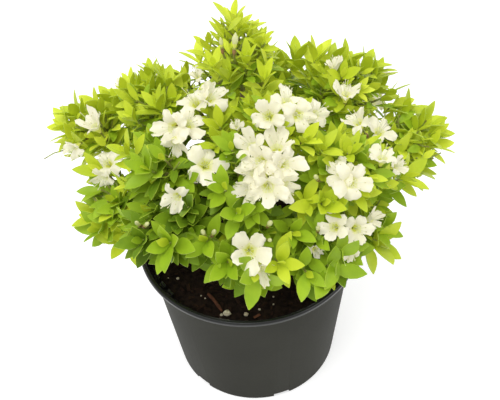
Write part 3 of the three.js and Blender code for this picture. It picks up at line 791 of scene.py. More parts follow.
@dataclass
class PottingMix:
    """The mix that fills the pot: a lumpy top with bark chips, fibres and perlite on it.

    Attributes are millimetres, counts, or places in the photo.
    """

    pot: NurseryPot
    view: PhotoView
    level: float = 133.0
    gap: float = 0.5
    lumps: float = 2.2
    lump_widths: tuple[float, float] = (26.0, 7.0)
    segments: int = 96
    rings: int = 30
    chips: Strewing = Strewing(300, (2.0, 6.0), (1.0, 2.0))
    fibres: Strewing = Strewing(60, (0.7, 1.2), (9.0, 22.0))
    grains: Strewing = Strewing(16, (0.7, 1.5), (0.9, 1.3))
    seed: int = 77
    seen_grains: tuple[tuple[Pixel, float], ...] = (
        (Pixel(177.7, 278.1), 2.4), (Pixel(201.1, 295.8), 1.3), (Pixel(205.1, 298.2), 1.3),
        (Pixel(221.6, 315.3), 2.6), (Pixel(227.1, 314.7), 5.6), (Pixel(246.0, 315.2), 3.6),
        (Pixel(259.5, 309.8), 1.8),
    )
    seen_grain_form: tuple[float, float, float] = (1.15, 1.0, 0.8)
    stick: tuple[Pixel, Pixel] = (Pixel(208.1, 294.8), Pixel(222.1, 312.7))
    stick_lift: float = 1.6
    stick_bow: tuple[float, float, float] = (0.8, 0.5, 0.9)
    stick_radii: tuple[float, ...] = (1.1, 1.5, 1.3, 1.4, 0.9)
    red_chip: Pixel = Pixel(257.0, 316.7)
    red_chip_size: tuple[float, float, float] = (6.0, 3.6, 3.0)

    def top(self, x: float, y: float) -> float:
        """Gives the height of the lumpy top.

        Args:
            x: Millimetres to the right.
            y: Millimetres to the back.

        Returns:
            The height in millimetres.
        """
        place = Vector((x, y, 0.0))
        broad, fine = self.lump_widths
        swell = noise.noise(place / broad)
        crumb = noise.noise(place / fine + Vector((5.0, 3.0, 1.0)))
        return self.level + self.lumps * (0.8 * swell + 0.45 * crumb)

    def bed(self) -> bpy.types.Object:
        """Models the mix itself.

        Returns:
            The finished piece.
        """
        bottom = self.pot.floor + self.gap
        edge = self.pot.inner_radius(self.level) - self.gap
        profile = [(self.pot.hub_radius, bottom),
                   (self.pot.inner_radius(bottom) - self.gap, bottom),
                   (edge, self.level)]
        profile += [(edge * (1.0 - ring / self.rings), self.level)
                    for ring in range(1, self.rings)]
        bed = turned("potting_mix", profile, self.segments)
        for corner in bed.data.vertices:
            if corner.co.z > (self.level - 1.0) * MM:
                corner.co.z = self.top(corner.co.x / MM, corner.co.y / MM) * MM
        pick(bed)
        bpy.ops.object.shade_smooth_by_angle(angle=math.radians(50))
        bed.data.materials.append(MIX.material())
        return hand_over(bed, ["soil"])

    def lump_template(self, ball: bool) -> Template:
        """Models a chip or a grain at unit size.

        Args:
            ball: True for a rounded grain, False for a flat chip.

        Returns:
            The template.
        """
        deselect()
        if ball:
            bpy.ops.mesh.primitive_ico_sphere_add(subdivisions=2, radius=0.5)
        else:
            bpy.ops.mesh.primitive_cube_add(size=1.0, scale=(1.0, 0.6, 0.3))
            bpy.ops.object.transform_apply(location=True, rotation=True, scale=True)
            bpy.ops.object.mode_set(mode="EDIT")
            bpy.ops.mesh.select_all(action="SELECT")
            bpy.ops.mesh.bevel(offset=0.07, segments=1, affect="EDGES")
            bpy.ops.object.mode_set(mode="OBJECT")
        return Template.taken_from(bpy.context.object)

    def strew(
        self, gathering: Gathering, template: Template, kind: Strewing, draw: Draws
    ) -> None:
        """Strews copies over the top.

        Args:
            gathering: Takes the copies.
            template: The shape to copy.
            kind: How many there are, and their sizes.
            draw: The seeded draws.
        """
        edge = self.pot.inner_radius(self.level) - self.gap
        for _ in range(kind.count):
            size = draw.between(*kind.sizes)
            length = size * draw.between(*kind.stretch)
            out = (edge - length / 2 - 0.5) * math.sqrt(draw())
            middle = direction(360.0 * draw()) * out
            middle.z = self.top(middle.x, middle.y) + size * draw.between(-0.1, 0.22)
            lump = uneven(template.points, middle, 0.3, 2.3)
            turn = Matrix.Rotation(2 * math.pi * draw(), 3, "Z")
            turn = turn @ Matrix.Rotation(draw.between(-0.35, 0.35), 3, "X")
            turn = turn @ Matrix.Rotation(draw.between(-0.25, 0.25), 3, "Y")
            lump = lump * np.array([length, size, size]) @ np.array(turn).T
            gathering.add(lump + np.array(middle), template.faces)

    def on_top(self, pixel: Pixel, lift: float) -> Vector:
        """Finds the place on the lumpy top that the photo shows.

        Args:
            pixel: The place in the photo.
            lift: Millimetres above the top.

        Returns:
            The point.
        """
        point = self.view.on_level(pixel, self.level)
        point.z = self.top(point.x, point.y) + lift
        return point

    def grains_of_perlite(self, draw: Draws) -> bpy.types.Object:
        """Models the perlite: strewn grains, and those that the photo shows.

        Args:
            draw: The seeded draws.

        Returns:
            The piece.
        """
        grains = Gathering("perlite_grains", [PERLITE], crease=60.0)
        ball = self.lump_template(ball=True)
        self.strew(grains, ball, self.grains, draw)
        for pixel, size in self.seen_grains:
            middle = self.on_top(pixel, 0.25 * size)
            grain = uneven(ball.points, middle, 0.35, 2.6) * size
            grain = grain * np.array(self.seen_grain_form)
            grains.add(grain + np.array(middle), ball.faces)
        return grains.piece()

    def red_bark(self, flat: Template) -> bpy.types.Object:
        """Models the red stick and the red chip that the photo shows.

        Args:
            flat: The chip's shape.

        Returns:
            The piece.
        """
        bark = Gathering("red_bark", [RED_CHIP], crease=30.0)
        foot, tip = (self.on_top(pixel, self.stick_lift) for pixel in self.stick)
        stick = Shoot(foot, tip, foot.lerp(tip, 0.5) + Vector(self.stick_bow))
        bark.take(tube(stick.line(len(self.stick_radii) - 1), self.stick_radii, 7))
        turn = np.array(Matrix.Rotation(0.5, 3, "Z"))
        chip = flat.points * np.array(self.red_chip_size) @ turn.T
        bark.add(chip + np.array(self.on_top(self.red_chip, 1.0)), flat.faces)
        return bark.piece()

    def build(self) -> None:
        """Models the mix and strews its chips, fibres and grains."""
        self.bed()
        draw = Draws(self.seed)
        chips = Gathering("bark_chips", [CHIP], crease=30.0)
        flat = self.lump_template(ball=False)
        self.strew(chips, flat, self.chips, draw)
        self.strew(chips, flat, self.fibres, draw)
        hand_over(chips.piece())
        hand_over(self.grains_of_perlite(draw))
        hand_over(self.red_bark(flat))


@dataclass(frozen=True)
class Mass:
    """One mass of foliage and the bough that carries it.

    Attributes:
        name: The mass's name.
        bearing: Where its middle lies, in degrees.
        reach: How far its middle lies from the pot's middle, in millimetres.
        height: The height of its middle.
        half_width: Half of its width.
        half_height: Half of its height.
        shade: The tint of its leaves, from 0 for the youngest to 4 for the darkest: partly their
            age, partly painted light and shade for how brightly that part of the crown is lit.
        parent: The limb that its bough forks from.
        fork: Where along that limb.
        trusses: The bearing, lift and blooms of each truss that grows by the rule alone.
        ways: The ways that its shoots may take.
        proud: How far its leaves may stand out, as a share of its reach.
        droop: The share of that which they keep to below its middle.
    """

    name: str
    bearing: float
    reach: float
    height: float
    half_width: float
    half_height: float
    shade: float
    parent: str
    fork: float
    trusses: tuple[tuple[float, float, int], ...] = ()
    ways: int = 25
    proud: float = 1.06
    droop: float = 0.86

    @property
    def middle(self) -> Vector:
        """Gives the middle of the mass."""
        middle = direction(self.bearing) * self.reach
        middle.z = self.height
        return middle

    def share_at(self, point: Vector) -> float:
        """Gives how far out a point lies, as a share of the reach there."""
        out = point - self.middle
        return out.length / self.reach_along(out.normalized())

    def reach_along(self, line: Vector) -> float:
        """Gives how far the mass reaches from its middle along a unit vector."""
        across = math.hypot(line.x, line.y) / self.half_width
        return 1.0 / math.hypot(across, line.z / self.half_height)


# The shade column is partly painted light and shade: lighter tints where the crown is lit, darker
# where it lies in shade.
MASSES = (
    Mass("upper_front", 5, 44, 250, 42, 40, 2.1, "trunk", 0.62),
    Mass("upper_right", 62, 76, 246, 44, 38, 1.5, "trunk", 0.42),
    Mass("upper_back_right", 122, 90, 250, 44, 38, 0.9, "trunk", 0.68,
         ((130, -5, 1),), proud=1.1),
    Mass("upper_back", 172, 64, 252, 46, 40, 0.8, "trunk", 0.5,
         ((-170, 5, 2), (150, -10, 1))),
    Mass("upper_back_left", -124, 78, 250, 44, 40, 1.0, "trunk", 0.7,
         ((-170, -20, 1),)),
    Mass("upper_left", -60, 62, 250, 44, 40, 1.9, "trunk", 0.46),
    Mass("crest", 176, 38, 298, 36, 48, 0.3, "trunk", 0.97, ways=15, proud=0.92, droop=0.8),
    Mass("top", 58, 22, 268, 44, 38, 0.95, "crest", 0.3),
    Mass("middle", -45, 17, 264, 40, 36, 0.8, "crest", 0.45),
    Mass("front", 2, 66, 208, 46, 42, 2.05, "upper_front", 0.34),
    Mass("front_right", 36, 83, 206, 43, 40, 2.1, "upper_right", 0.26),
    Mass("right_low", 66, 92, 195, 39, 36, 1.8, "upper_right", 0.46, proud=0.78, droop=0.62),
    Mass("right_tip", 99, 124, 215, 48, 42, 0.8, "upper_back_right", 0.3, proud=0.8, droop=0.5),
    Mass("back_right", 138, 108, 205, 50, 46, 1.2, "upper_back_right", 0.48,
         ((140, 25, 2), (100, 5, 1))),
    Mass("back", 178, 104, 202, 52, 46, 1.2, "upper_back", 0.34,
         ((-165, 30, 2), (160, 0, 1))),
    Mass("back_left", -142, 104, 205, 50, 46, 1.2, "upper_back_left", 0.46,
         ((-150, 20, 2), (-110, 45, 1))),
    Mass("left_tip", -107, 117, 240, 44, 34, 0.55, "upper_back_left", 0.3, proud=0.85, droop=0.6),
    Mass("left_low", -75, 100, 214, 39, 30, 1.85, "upper_left", 0.3, proud=0.84, droop=0.7),
    Mass("front_left", -43, 78, 232, 42, 36, 2.9, "upper_left", 0.48, droop=0.68),
)


@dataclass(frozen=True)
class SeenFlower:
    """A bloom or a closed bud that the photo shows.

    Attributes:
        column: Its pixel's column in the photo.
        row: Its pixel's row.
        behind: How far behind the crown's outline it lies, in millimetres.
        rightward: How far it faces to the picture's right, against 1 to the camera.
        upward: How far it faces to the picture's top, against 1 to the camera.
        size: Its size, as a share.
    """

    column: float
    row: float
    behind: float
    rightward: float
    upward: float
    size: float


SEEN_BLOOMS = tuple(SeenFlower(*seen) for seen in (
    (250, 251, 6, 0.05, -0.05, 1.1),
    (271, 173, 11, 0.15, 0.3, 0.95),
    (253, 172, 11, -0.9, 0.2, 0.9),
    (284, 186, 10, 0.5, -0.6, 0.9),
    (262, 270, 14, 0.6, -1.0, 0.75),
    (260, 162, 6, -0.35, -0.1, 0.93),
    (251, 146, 12, -0.5, 0.5, 0.82),
    (277, 147, 8, 0.0, 0.75, 0.92),
    (285, 165, 3, 0.5, -0.1, 0.95),
    (268, 188, 4, 0.0, -0.35, 1.0),
    (252, 190, 14, -1.3, -0.5, 0.85),
    (268, 116, 6, -0.15, 0.1, 0.93),
    (287, 100, 10, 0.1, 0.9, 0.9),
    (299, 116, 4, 0.35, -0.2, 0.93),
    (317, 114, 10, 0.9, 0.25, 0.8),
    (172, 128, 4, -0.5, -0.15, 1.0),
    (189, 124, 7, 0.35, 0.35, 0.95),
    (175, 143, 13, -0.1, -1.1, 0.7),
    (194, 101, 4, -0.35, 0.6, 1.0),
    (211, 97, 7, 0.5, 0.6, 0.94),
    (206, 164, 3, 0.1, 0.2, 1.12),
    (176, 198, 10, -0.7, -0.7, 0.78),
    (341, 172, 11, -0.4, 0.45, 0.82),
    (352, 183, 3, 0.25, -0.15, 1.04),
    (334, 227, 6, -0.25, 0.05, 0.84),
    (357, 229, 8, 0.35, -0.1, 0.84),
    (352, 249, 14, -0.2, -1.3, 0.55),
    (372, 219, 14, 1.2, 0.3, 0.62),
    (346, 93, 8, 0.1, 1.0, 0.85),
    (334, 67, 14, 0.1, 1.4, 0.6),
    (357, 121, 9, -0.6, 0.9, 0.8),
    (380, 130, 8, 0.4, 0.8, 0.95),
    (383, 157, 10, 0.3, 0.9, 0.8),
    (397, 166, 14, 1.1, 0.3, 0.6),
    (94, 125, 8, -0.7, 0.8, 0.82),
    (74, 148, 14, -1.2, -0.9, 0.6),
    (107, 163, 7, -0.35, 0.3, 0.88),
    (104, 178, 12, -0.7, -0.9, 0.7),
    (197, 76, 12, -0.3, 0.9, 0.5),
    (237, 127, 20, -0.3, 0.7, 0.42),
    (315, 250, 24, 0.2, -0.4, 0.5),
))
SEEN_BUDS = tuple(SeenFlower(*seen) for seen in (
    (235, 40, 0, 0.1, 1.3, 0.62),
    (221, 42, 2, -0.2, 1.3, 0.42),
    (203, 232, 0, -0.2, 0.4, 0.45),
    (214, 232, 0, 0.2, 0.4, 0.45),
    (137, 223, 0, -0.3, 0.3, 0.4),
    (147, 224, 0, 0.3, 0.3, 0.4),
    (318, 228, 0, 0.0, 0.3, 0.45),
    (316, 177, 0, -0.2, 0.3, 0.45),
    (270, 240, 0, 0.1, 0.0, 0.4),
    (270, 223, 0, 0.2, 0.3, 0.5),
))


def pixels(*places: tuple[float, float]) -> tuple[Pixel, ...]:
    """Gives places in the photo, by their column and row, as pixels."""
    return tuple(Pixel(*place) for place in places)


EDGE_SHOOTS = {
    "crest": pixels(
        (233, 22), (224, 32), (248, 33), (209, 49), (260, 50),
    ),
    "upper_back": pixels(
        (200, 62), (282, 70), (296, 62), (186, 80),
    ),
    "upper_back_right": pixels(
        (315, 60), (330, 62), (345, 64), (362, 69), (375, 78),
        (388, 93), (372, 73),
    ),
    "right_tip": pixels(
        (391, 106), (404, 113), (418, 127), (431, 134), (430, 145),
        (417, 148), (409, 168), (398, 152),
    ),
    "right_low": pixels(
        (402, 178), (372, 190), (366, 202), (376, 228), (374, 243),
    ),
    "left_low": pixels(
        (127, 237), (104, 228), (97, 217), (101, 190), (103, 172),
    ),
    "left_tip": pixels(
        (92, 148), (76, 141), (68, 127), (77, 131), (80, 116),
        (98, 108), (112, 101),
    ),
    "upper_back_left": pixels(
        (128, 95), (140, 91), (150, 91), (162, 92), (174, 92),
        (120, 112),
    ),
}
FRONT_SHOOTS = pixels(
    (228, 78), (264, 80), (247, 60), (214, 66), (343, 257),
    (335, 270), (306, 272), (279, 263), (256, 272), (228, 262),
    (207, 241), (170, 243), (143, 240), (158, 108), (135, 120),
    (303, 141), (128, 152), (150, 170), (165, 160), (188, 207),
    (237, 213), (225, 190), (305, 200), (322, 204), (292, 232),
    (232, 150), (322, 150),
)
INNER_SHOOTS = pixels(
    (300, 140), (294, 132), (308, 146),
)


@dataclass(frozen=True)
class StrayStalk:
    """A thin bare stalk that hangs out of a mass at the left, past places in the photo."""

    mass: str = "left_tip"
    pixels: tuple[Pixel, ...] = pixels(
        (104, 151), (91, 150), (78, 149), (65, 150), (54, 153), (44, 159)
    )
    radii: tuple[float, float] = (0.75, 0.45)


class Curve:
    """A smooth curve along two to four control points."""

    controls: tuple[Vector, ...]

    def point(self, share: float) -> Vector:
        """Gives a point of the curve.

        Args:
            share: The share of its length, from 0 to 1.

        Returns:
            The point.
        """
        points = list(self.controls)
        while len(points) > 1:
            points = [a.lerp(b, share) for a, b in zip(points, points[1:])]
        return points[0]

    def line(self, steps: int) -> list[Vector]:
        """Gives points along the curve, in even steps from its foot to its tip."""
        return [self.point(step / steps) for step in range(steps + 1)]


@dataclass
class Limb(Curve):
    """A tapering limb along a smooth curve.

    Attributes:
        controls: The curve's three or four control points.
        radius_at: The limb's radius at a share of its length.
    """

    controls: tuple[Vector, ...]
    radius_at: Callable[[float], float]

    def way(self, share: float) -> Vector:
        """Gives the unit vector of the limb's way at a share of its length."""
        low, high = max(share - 0.005, 0.0), min(share + 0.005, 1.0)
        return (self.point(high) - self.point(low)).normalized()


@dataclass
class Branchwork:
    """The short trunk and the boughs, which carry one mass each.

    Attributes are millimetres, but for shares, counts and degrees.
    """

    ground: float = 133.3
    trunk_height: float = 42.0
    lean: tuple[float, float] = (2.0, 7.0)
    flare_radius: float = 12.0
    flare_power: float = 6.0
    waist_radius: float = 8.0
    head_radius: float = 5.6
    main_radius: float = 3.6
    side_radius: float = 2.9
    taper: float = 0.6
    entry: float = 0.56
    sag: float = 0.55
    spring: float = 0.4
    rise: float = 0.3
    sides: int = 14
    ring_step: float = 2.4
    relief: float = 0.13
    ridge_width: float = 2.6
    ridge_stretch: float = 0.35
    crack_width: float = 1.1
    limbs: dict[str, Limb] = field(default_factory=dict)

    def __post_init__(self) -> None:
        """Works out the middle lines of the trunk and of every bough."""
        self.limbs["trunk"] = self.trunk()
        for mass in MASSES:
            self.limbs[mass.name] = self.bough(mass, self.limbs[mass.parent])

    def trunk(self) -> Limb:
        """Gives the trunk's line, with a root flare at the potting mix."""
        foot = Vector((0.0, 0.0, self.ground))
        head = foot + UP * self.trunk_height + Vector((*self.lean, 0.0))
        bend = foot + UP * self.trunk_height / 2

        def radius_at(share: float) -> float:
            """Gives the trunk's radius at a share of its height."""
            slim = self.waist_radius + (self.head_radius - self.waist_radius) * share
            flare = (1.0 - share) ** self.flare_power
            return slim + (self.flare_radius - self.waist_radius) * flare

        return Limb((foot, bend, head), radius_at)

    def bough(self, mass: Mass, parent: Limb) -> Limb:
        """Gives a bough's line: outwards from its parent, then up into its mass.

        Args:
            mass: The mass that the bough carries.
            parent: The limb that it forks from.

        Returns:
            The bough.
        """
        start = parent.point(mass.fork)
        inwards = (start - mass.middle).normalized()
        entry = (inwards - UP * self.sag).normalized()
        end = mass.middle + entry * self.entry * mass.reach_along(entry)
        way = end - start
        hold = self.spring * way.length
        level = Vector((way.x, way.y, 0.0)).normalized()
        leaving = (level + UP * self.rise).normalized()
        foot_radius = self.main_radius if mass.parent == "trunk" else self.side_radius
        return Limb(
            (start, start + leaving * hold, end + entry * hold, end),
            lambda share: foot_radius * (1.0 + (self.taper - 1.0) * share),
        )

    def bark(self, limb: Limb) -> Template:
        """Models one limb with the relief of its bark.

        Args:
            limb: The limb.

        Returns:
            Its corners and faces.
        """
        length = sum((b - a).length for a, b in zip(limb.line(8), limb.line(8)[1:]))
        steps = max(6, round(length / self.ring_step))
        line = limb.line(steps)
        shape = tube(line, [limb.radius_at(i / steps) for i in range(steps + 1)], self.sides)
        for i, corner in enumerate(shape.points):
            middle = np.array(line[i // self.sides])
            along = Vector(corner) / self.ridge_width
            along.z *= self.ridge_stretch
            rough = noise.noise(along) + 0.5 * noise.noise(Vector(corner) / self.crack_width)
            shape.points[i] = middle + (corner - middle) * (1.0 + self.relief * rough)
        return shape

    def build(self) -> None:
        """Models the trunk and the boughs as one piece."""
        wood = Gathering("trunk_and_boughs", [BARK], crease=50.0)
        for limb in self.limbs.values():
            wood.take(self.bark(limb))
        nodes = ["trunk", *(f"bough_{mass.name}" for mass in MASSES)]
        hand_over(wood.piece(), nodes)


class Space:
    """The space of one mass, between its own outline and its neighbours' borders."""

    RIM_RADIUS = 77.0
    OVER_RIM = 150.5
    OVER_MIX = 140.0

    def __init__(self, mass: Mass) -> None:
        """Works out the borders.

        Args:
            mass: The mass.
        """
        self.mass = mass
        self.middle = mass.middle
        ways = []
        borders = []
        for other in MASSES:
            if other is mass:
                continue
            between = other.middle - self.middle
            apart = between.length
            widths = mass.half_width**2 - other.half_width**2
            ways.append(tuple(between / apart))
            borders.append((apart**2 + widths) / (2 * apart))
        self.ways = np.array(ways)
        self.borders = np.array(borders)

    def extent(self, line: Vector, proud: float = 1.0, over: float = -0.8) -> float:
        """Gives how far the space reaches from its middle.

        Args:
            line: A unit vector.
            proud: The share of the outline that counts.
            over: How far over the borders counts too, in millimetres.

        Returns:
            The reach in millimetres.
        """
        reach = self.mass.reach_along(line) * proud
        facing = self.ways @ np.array(line)
        ahead = facing > 1e-6
        limits = (self.borders[ahead] + over) / facing[ahead]
        return float(min(reach, limits.min(initial=reach)))

    def holds(self, point: Vector, proud: float | None, over: float) -> bool:
        """Tells if a point lies in the space, above the rim and the potting mix.

        Args:
            point: The point.
            proud: The share of the outline that counts, or None for no limit outward.
            over: How far over the borders counts too, in millimetres.

        Returns:
            True inside the space.
        """
        beside = math.hypot(point.x, point.y) > self.RIM_RADIUS
        if point.z < (self.OVER_RIM if beside else self.OVER_MIX):
            return False
        if proud is None:
            return True
        way = point - self.middle
        reach = way.length
        return reach < 1.0 or reach <= self.extent(way / reach, proud, over)


@dataclass
class Stem(Curve):
    """The short straight stem inside a mass, which carries on from its bough the same way."""

    controls: tuple[Vector, ...]
    way: Vector


@dataclass
class Shoot(Curve):
    """A shoot or a side twig: where it forks from its parent, its tip, and the bend between."""

    fork: Vector
    tip: Vector
    bend: Vector

    @property
    def controls(self) -> tuple[Vector, ...]:
        """Gives the curve's control points."""
        return self.fork, self.bend, self.tip

    @property
    def heading(self) -> Vector:
        """Gives the direction of the shoot's tip."""
        return (self.tip - self.bend).normalized()


@dataclass
class Bloom:
    """One bloom or closed bud.

    Attributes:
        DEPTH: How far the middle of an open bloom lies from its foot, in millimetres.
        stalk: Where its stalk starts.
        foot: The foot of its funnel.
        way: The way that it faces.
        turn: Its turn about that way, in radians.
        size: Its size, as a share.
        shoot: The flowering shoot that bears it.
        closed: True for a bud.
    """

    DEPTH = 12.0

    stalk: Vector
    foot: Vector
    way: Vector
    turn: float
    size: float
    shoot: Shoot
    closed: bool = False

    @property
    def middle(self) -> Vector:
        """Gives the middle of the open bloom."""
        return self.foot + self.way * self.DEPTH * self.size

    def put(self, points: np.ndarray, turn: float) -> np.ndarray:
        """Puts a shape in the bloom's place.

        Args:
            points: Its corners, with its foot at the origin and its axis along Z.
            turn: Its turn about the axis, in radians.

        Returns:
            The corners in the part's frame.
        """
        side, over = across_from(self.way)
        axes = np.array([tuple(side), tuple(over), tuple(self.way)])
        turned_points = points @ np.array(Matrix.Rotation(turn, 3, "Z")).T
        return turned_points @ axes + np.array(self.foot)


@dataclass
class Patch:
    """One mass as it grows, with its space, its stem, its draws and the blooms near it."""

    mass: Mass
    space: Space
    stem: Stem
    draw: Draws
    blooms: list[Bloom]


@dataclass(frozen=True)
class Tier:
    """A ring of leaves round a shoot.

    Attributes:
        count: The number of its leaves.
        length: Their length in millimetres.
        tilt: Degrees between the shoot's line and the leaves.
        below: How far below the shoot's tip it sits, in millimetres.
        aging: How many tints darker than its spray it is.
        curl: Degrees by which a leaf bends back from its root to its tip.
    """

    count: int
    length: float
    tilt: float
    below: float
    aging: int
    curl: float


TIP_TIERS = (
    Tier(2, 15.0, 14.0, -1.0, -1, 5.0),
    Tier(4, 24.0, 36.0, 1.5, 0, 10.0),
    Tier(4, 26.0, 62.0, 7.0, 0, 18.0),
    Tier(3, 25.0, 84.0, 14.0, 1, 26.0),
)
LONG_TIERS = (
    Tier(1, 15.0, 10.0, -1.0, -1, 5.0),
    Tier(4, 25.0, 34.0, 1.5, 0, 10.0),
    Tier(3, 26.0, 60.0, 7.0, 0, 18.0),
    Tier(3, 25.0, 80.0, 14.0, 1, 24.0),
)
SIDE_TIERS = (
    Tier(1, 14.0, 14.0, -1.0, -1, 5.0),
    Tier(4, 22.0, 42.0, 1.5, 0, 12.0),
    Tier(2, 23.0, 72.0, 8.0, 1, 20.0),
)


@dataclass
class Growth:
    """How the masses grow: the stem, shoots, side twigs, leaves and blooms of each.

    Attributes are millimetres, but for shares, counts and degrees.
    """

    branchwork: Branchwork
    view: PhotoView
    seed: int = 4305
    seed_step: int = 97
    gap: float = 0.3
    stem_length: float = 1.15
    first_fork: float = 0.3
    stem_radii: tuple[float, float] = (2.2, 1.5)
    turn: float = 137.5
    wander: float = 9.0
    open_share: float = 0.52
    behind: float = -0.45
    leaf_room: float = 20.0
    least_reach: float = 0.8
    shortest: float = 4.0
    core: tuple[float, float, float] = (0.0, 20.0, 150.0)
    upturn: float = 0.4
    long_upturn: float = 0.15
    front_depth: float = 10.0
    inner_depth: float = 30.0
    own_way: float = 0.3
    stray: float = 0.35
    hold: float = 0.42
    shoot_radii: tuple[float, float] = (1.15, 0.75)
    shoot_steps: int = 5
    side_steps: int = 3
    side_twigs: int = 2
    side_forks: tuple[float, float] = (0.42, 0.8)
    side_length: tuple[float, float] = (14.0, 24.0)
    side_lean: tuple[float, float] = (34.0, 56.0)
    side_stray: float = 30.0
    side_upturn: float = 0.12
    side_bow: float = 0.12
    side_room: float = 10.0
    side_margin: float = 3.0
    side_radii: tuple[float, float] = (0.85, 0.6)
    leaf_length: float = 26.0
    leaf_over: float = 5.0
    leaf_apart: float = 4.3
    near: float = 110.0
    bloom_clear: tuple[float, float] = (40.0, 8.5)
    bud_clear: tuple[float, float] = (22.0, 3.5)
    limb_margin: float = 1.2
    limb_steps: int = 10
    shoot_margin: float = 1.5
    long_fork: float = 0.6
    seen_fork: float = 0.75
    seen_seed: int = 517
    seen_seed_step: int = 13
    seen_hold: float = 0.3
    bloom_stalk: float = 8.0
    bud_stalk: float = 2.0
    source_ways: int = 11
    truss_fork: float = 0.7
    spread: float = 56.0
    pedicel: float = 10.0
    bloom_room: float = 15.0
    truss_room: float = 27.0
    bloom_margin: float = 4.0
    bloom_radius: float = 16.0
    bloom_proud: float = 1.3
    bloom_over: float = 8.0

    def __post_init__(self) -> None:
        """Prepares the limbs' lines, which leaves and twigs keep clear of."""
        starts, ends, radii = [], [], []
        for limb in self.branchwork.limbs.values():
            line = limb.line(self.limb_steps)
            for i, (a, b) in enumerate(zip(line, line[1:])):
                starts.append(tuple(a))
                ends.append(tuple(b))
                radii.append(limb.radius_at((i + 0.5) / self.limb_steps))
        self.limb_starts = np.array(starts)
        self.limb_ways = np.array(ends) - self.limb_starts
        self.limb_radii = np.array(radii)
        self.limb_lengths = (self.limb_ways**2).sum(1)

    def from_limbs(self, point: Vector) -> float:
        """Gives the least distance from a point to any limb's bark.

        Args:
            point: The point.

        Returns:
            The distance, below 0 inside a limb.
        """
        way = np.array(point) - self.limb_starts
        share = np.clip((way * self.limb_ways).sum(1) / self.limb_lengths, 0.0, 1.0)
        apart = way - self.limb_ways * share[:, None]
        return float((np.sqrt((apart**2).sum(1)) - self.limb_radii).min())

    def stem(self, mass: Mass) -> Stem:
        """Gives the stem of a mass.

        Args:
            mass: The mass.

        Returns:
            The stem.
        """
        bough = self.branchwork.limbs[mass.name]
        way = bough.way(1.0)
        start = bough.point(1.0) + way * self.gap
        length = (mass.middle - start).length * self.stem_length
        return Stem((start, start + way * length), way)

    def patch(self, mass: Mass, blooms: Sequence[Bloom] = ()) -> Patch:
        """Prepares one mass for growing, with its draws at their start.

        Args:
            mass: The mass.
            blooms: The blooms of the whole plant.

        Returns:
            The patch.
        """
        draw = Draws(self.seed + self.seed_step * MASSES.index(mass))
        near = [bloom for bloom in blooms if (bloom.middle - mass.middle).length < self.near]
        return Patch(mass, Space(mass), self.stem(mass), draw, near)

    def leafy_lines(self, patch: Patch) -> Iterator[Vector]:
        """Gives the ways of the leafy shoots, spread evenly over the open sides of a mass.

        Args:
            patch: The mass as it grows.

        Yields:
            Unit vectors from the middle of the mass.
        """
        mass = patch.mass
        for i in range(mass.ways):
            lift = math.degrees(math.asin(1 - (2 * i + 1) / mass.ways))
            wander = patch.draw.between(-self.wander, self.wander)
            line = direction(self.turn * i + mass.bearing + wander, lift)
            is_open = patch.space.extent(line) > self.open_share * mass.half_width
            if is_open and line.dot(patch.stem.way) > self.behind:
                yield line

    def shoots(self, patch: Patch) -> list[Shoot]:
        """Forks the leafy shoots from the stem: the ones that turn back come first.

        Args:
            patch: The mass as it grows.

        Returns:
            The shoots, in the order of their ways.
        """
        draw = patch.draw
        lines = list(self.leafy_lines(patch))
        order = sorted(range(len(lines)), key=lambda i: lines[i].dot(patch.stem.way))
        made: dict[int, Shoot] = {}
        for place, i in enumerate(order):
            line = lines[i]
            share = self.first_fork + (1 - self.first_fork) * (place + 0.5) / len(order)
            fork = patch.stem.point(share)
            reach = (patch.space.extent(line) - self.leaf_room) * draw.between(self.least_reach, 1)
            tip = patch.space.middle + line * max(reach, self.shortest)
            stray = Vector((draw.between(-1, 1), draw.between(-1, 1), draw.between(-1, 1)))
            heading = (tip - Vector(self.core)).normalized() + UP * self.upturn
            heading = (heading + line * self.own_way + stray * self.stray).normalized()
            made[i] = Shoot(fork, tip, tip - heading * self.hold * (tip - fork).length)
        return [made[i] for i in range(len(lines))]

    def long_shoots(self, patch: Patch) -> Iterator[Shoot]:
        """Forks the shoots of a mass that the photo shows one by one.

        Args:
            patch: The mass as it grows.

        Yields:
            The shoots.
        """
        mass = patch.mass
        tips = [self.view.beside(mass, pixel) for pixel in EDGE_SHOOTS.get(mass.name, ())]
        for pixels, behind in ((FRONT_SHOOTS, self.front_depth), (INNER_SHOOTS, self.inner_depth)):
            found = [self.view.crown_at(pixel, behind) for pixel in pixels]
            tips += [point for near, point in found if near is mass]
        fork = patch.stem.point(self.long_fork)
        for tip in tips:
            heading = (tip - Vector(self.core)).normalized() + UP * self.long_upturn
            bend = tip - heading.normalized() * self.hold * (tip - fork).length
            yield Shoot(fork, tip, bend)

    def sides_of(self, shoot: Shoot, patch: Patch) -> Iterator[Shoot]:
        """Forks the side twigs of a shoot.

        Args:
            shoot: The shoot.
            patch: Its mass as it grows.

        Yields:
            The side twigs that have room.
        """
        draw = patch.draw
        side, over = across_from(shoot.heading)
        phase = 360.0 * draw()
        first, last = self.side_forks
        for i in range(self.side_twigs):
            share = first + (last - first) * ((i + draw()) / self.side_twigs)
            stray = draw.between(-self.side_stray, self.side_stray)
            angle = math.radians(phase + 360.0 * i / self.side_twigs + stray)
            lean = math.radians(draw.between(*self.side_lean))
            around = spoke(side, over, angle)
            way = shoot.heading * math.cos(lean) + around * math.sin(lean)
            length = draw.between(*self.side_length)
            fork = shoot.point(share)
            tip = fork + (way + UP * self.side_upturn).normalized() * length
            is_open = patch.space.holds(tip + way * self.side_room, 1.0, 0.0)
            if is_open and self.from_limbs(tip) > self.side_margin:
                yield Shoot(fork, tip, fork.lerp(tip, 0.5) + around * self.side_bow * length)

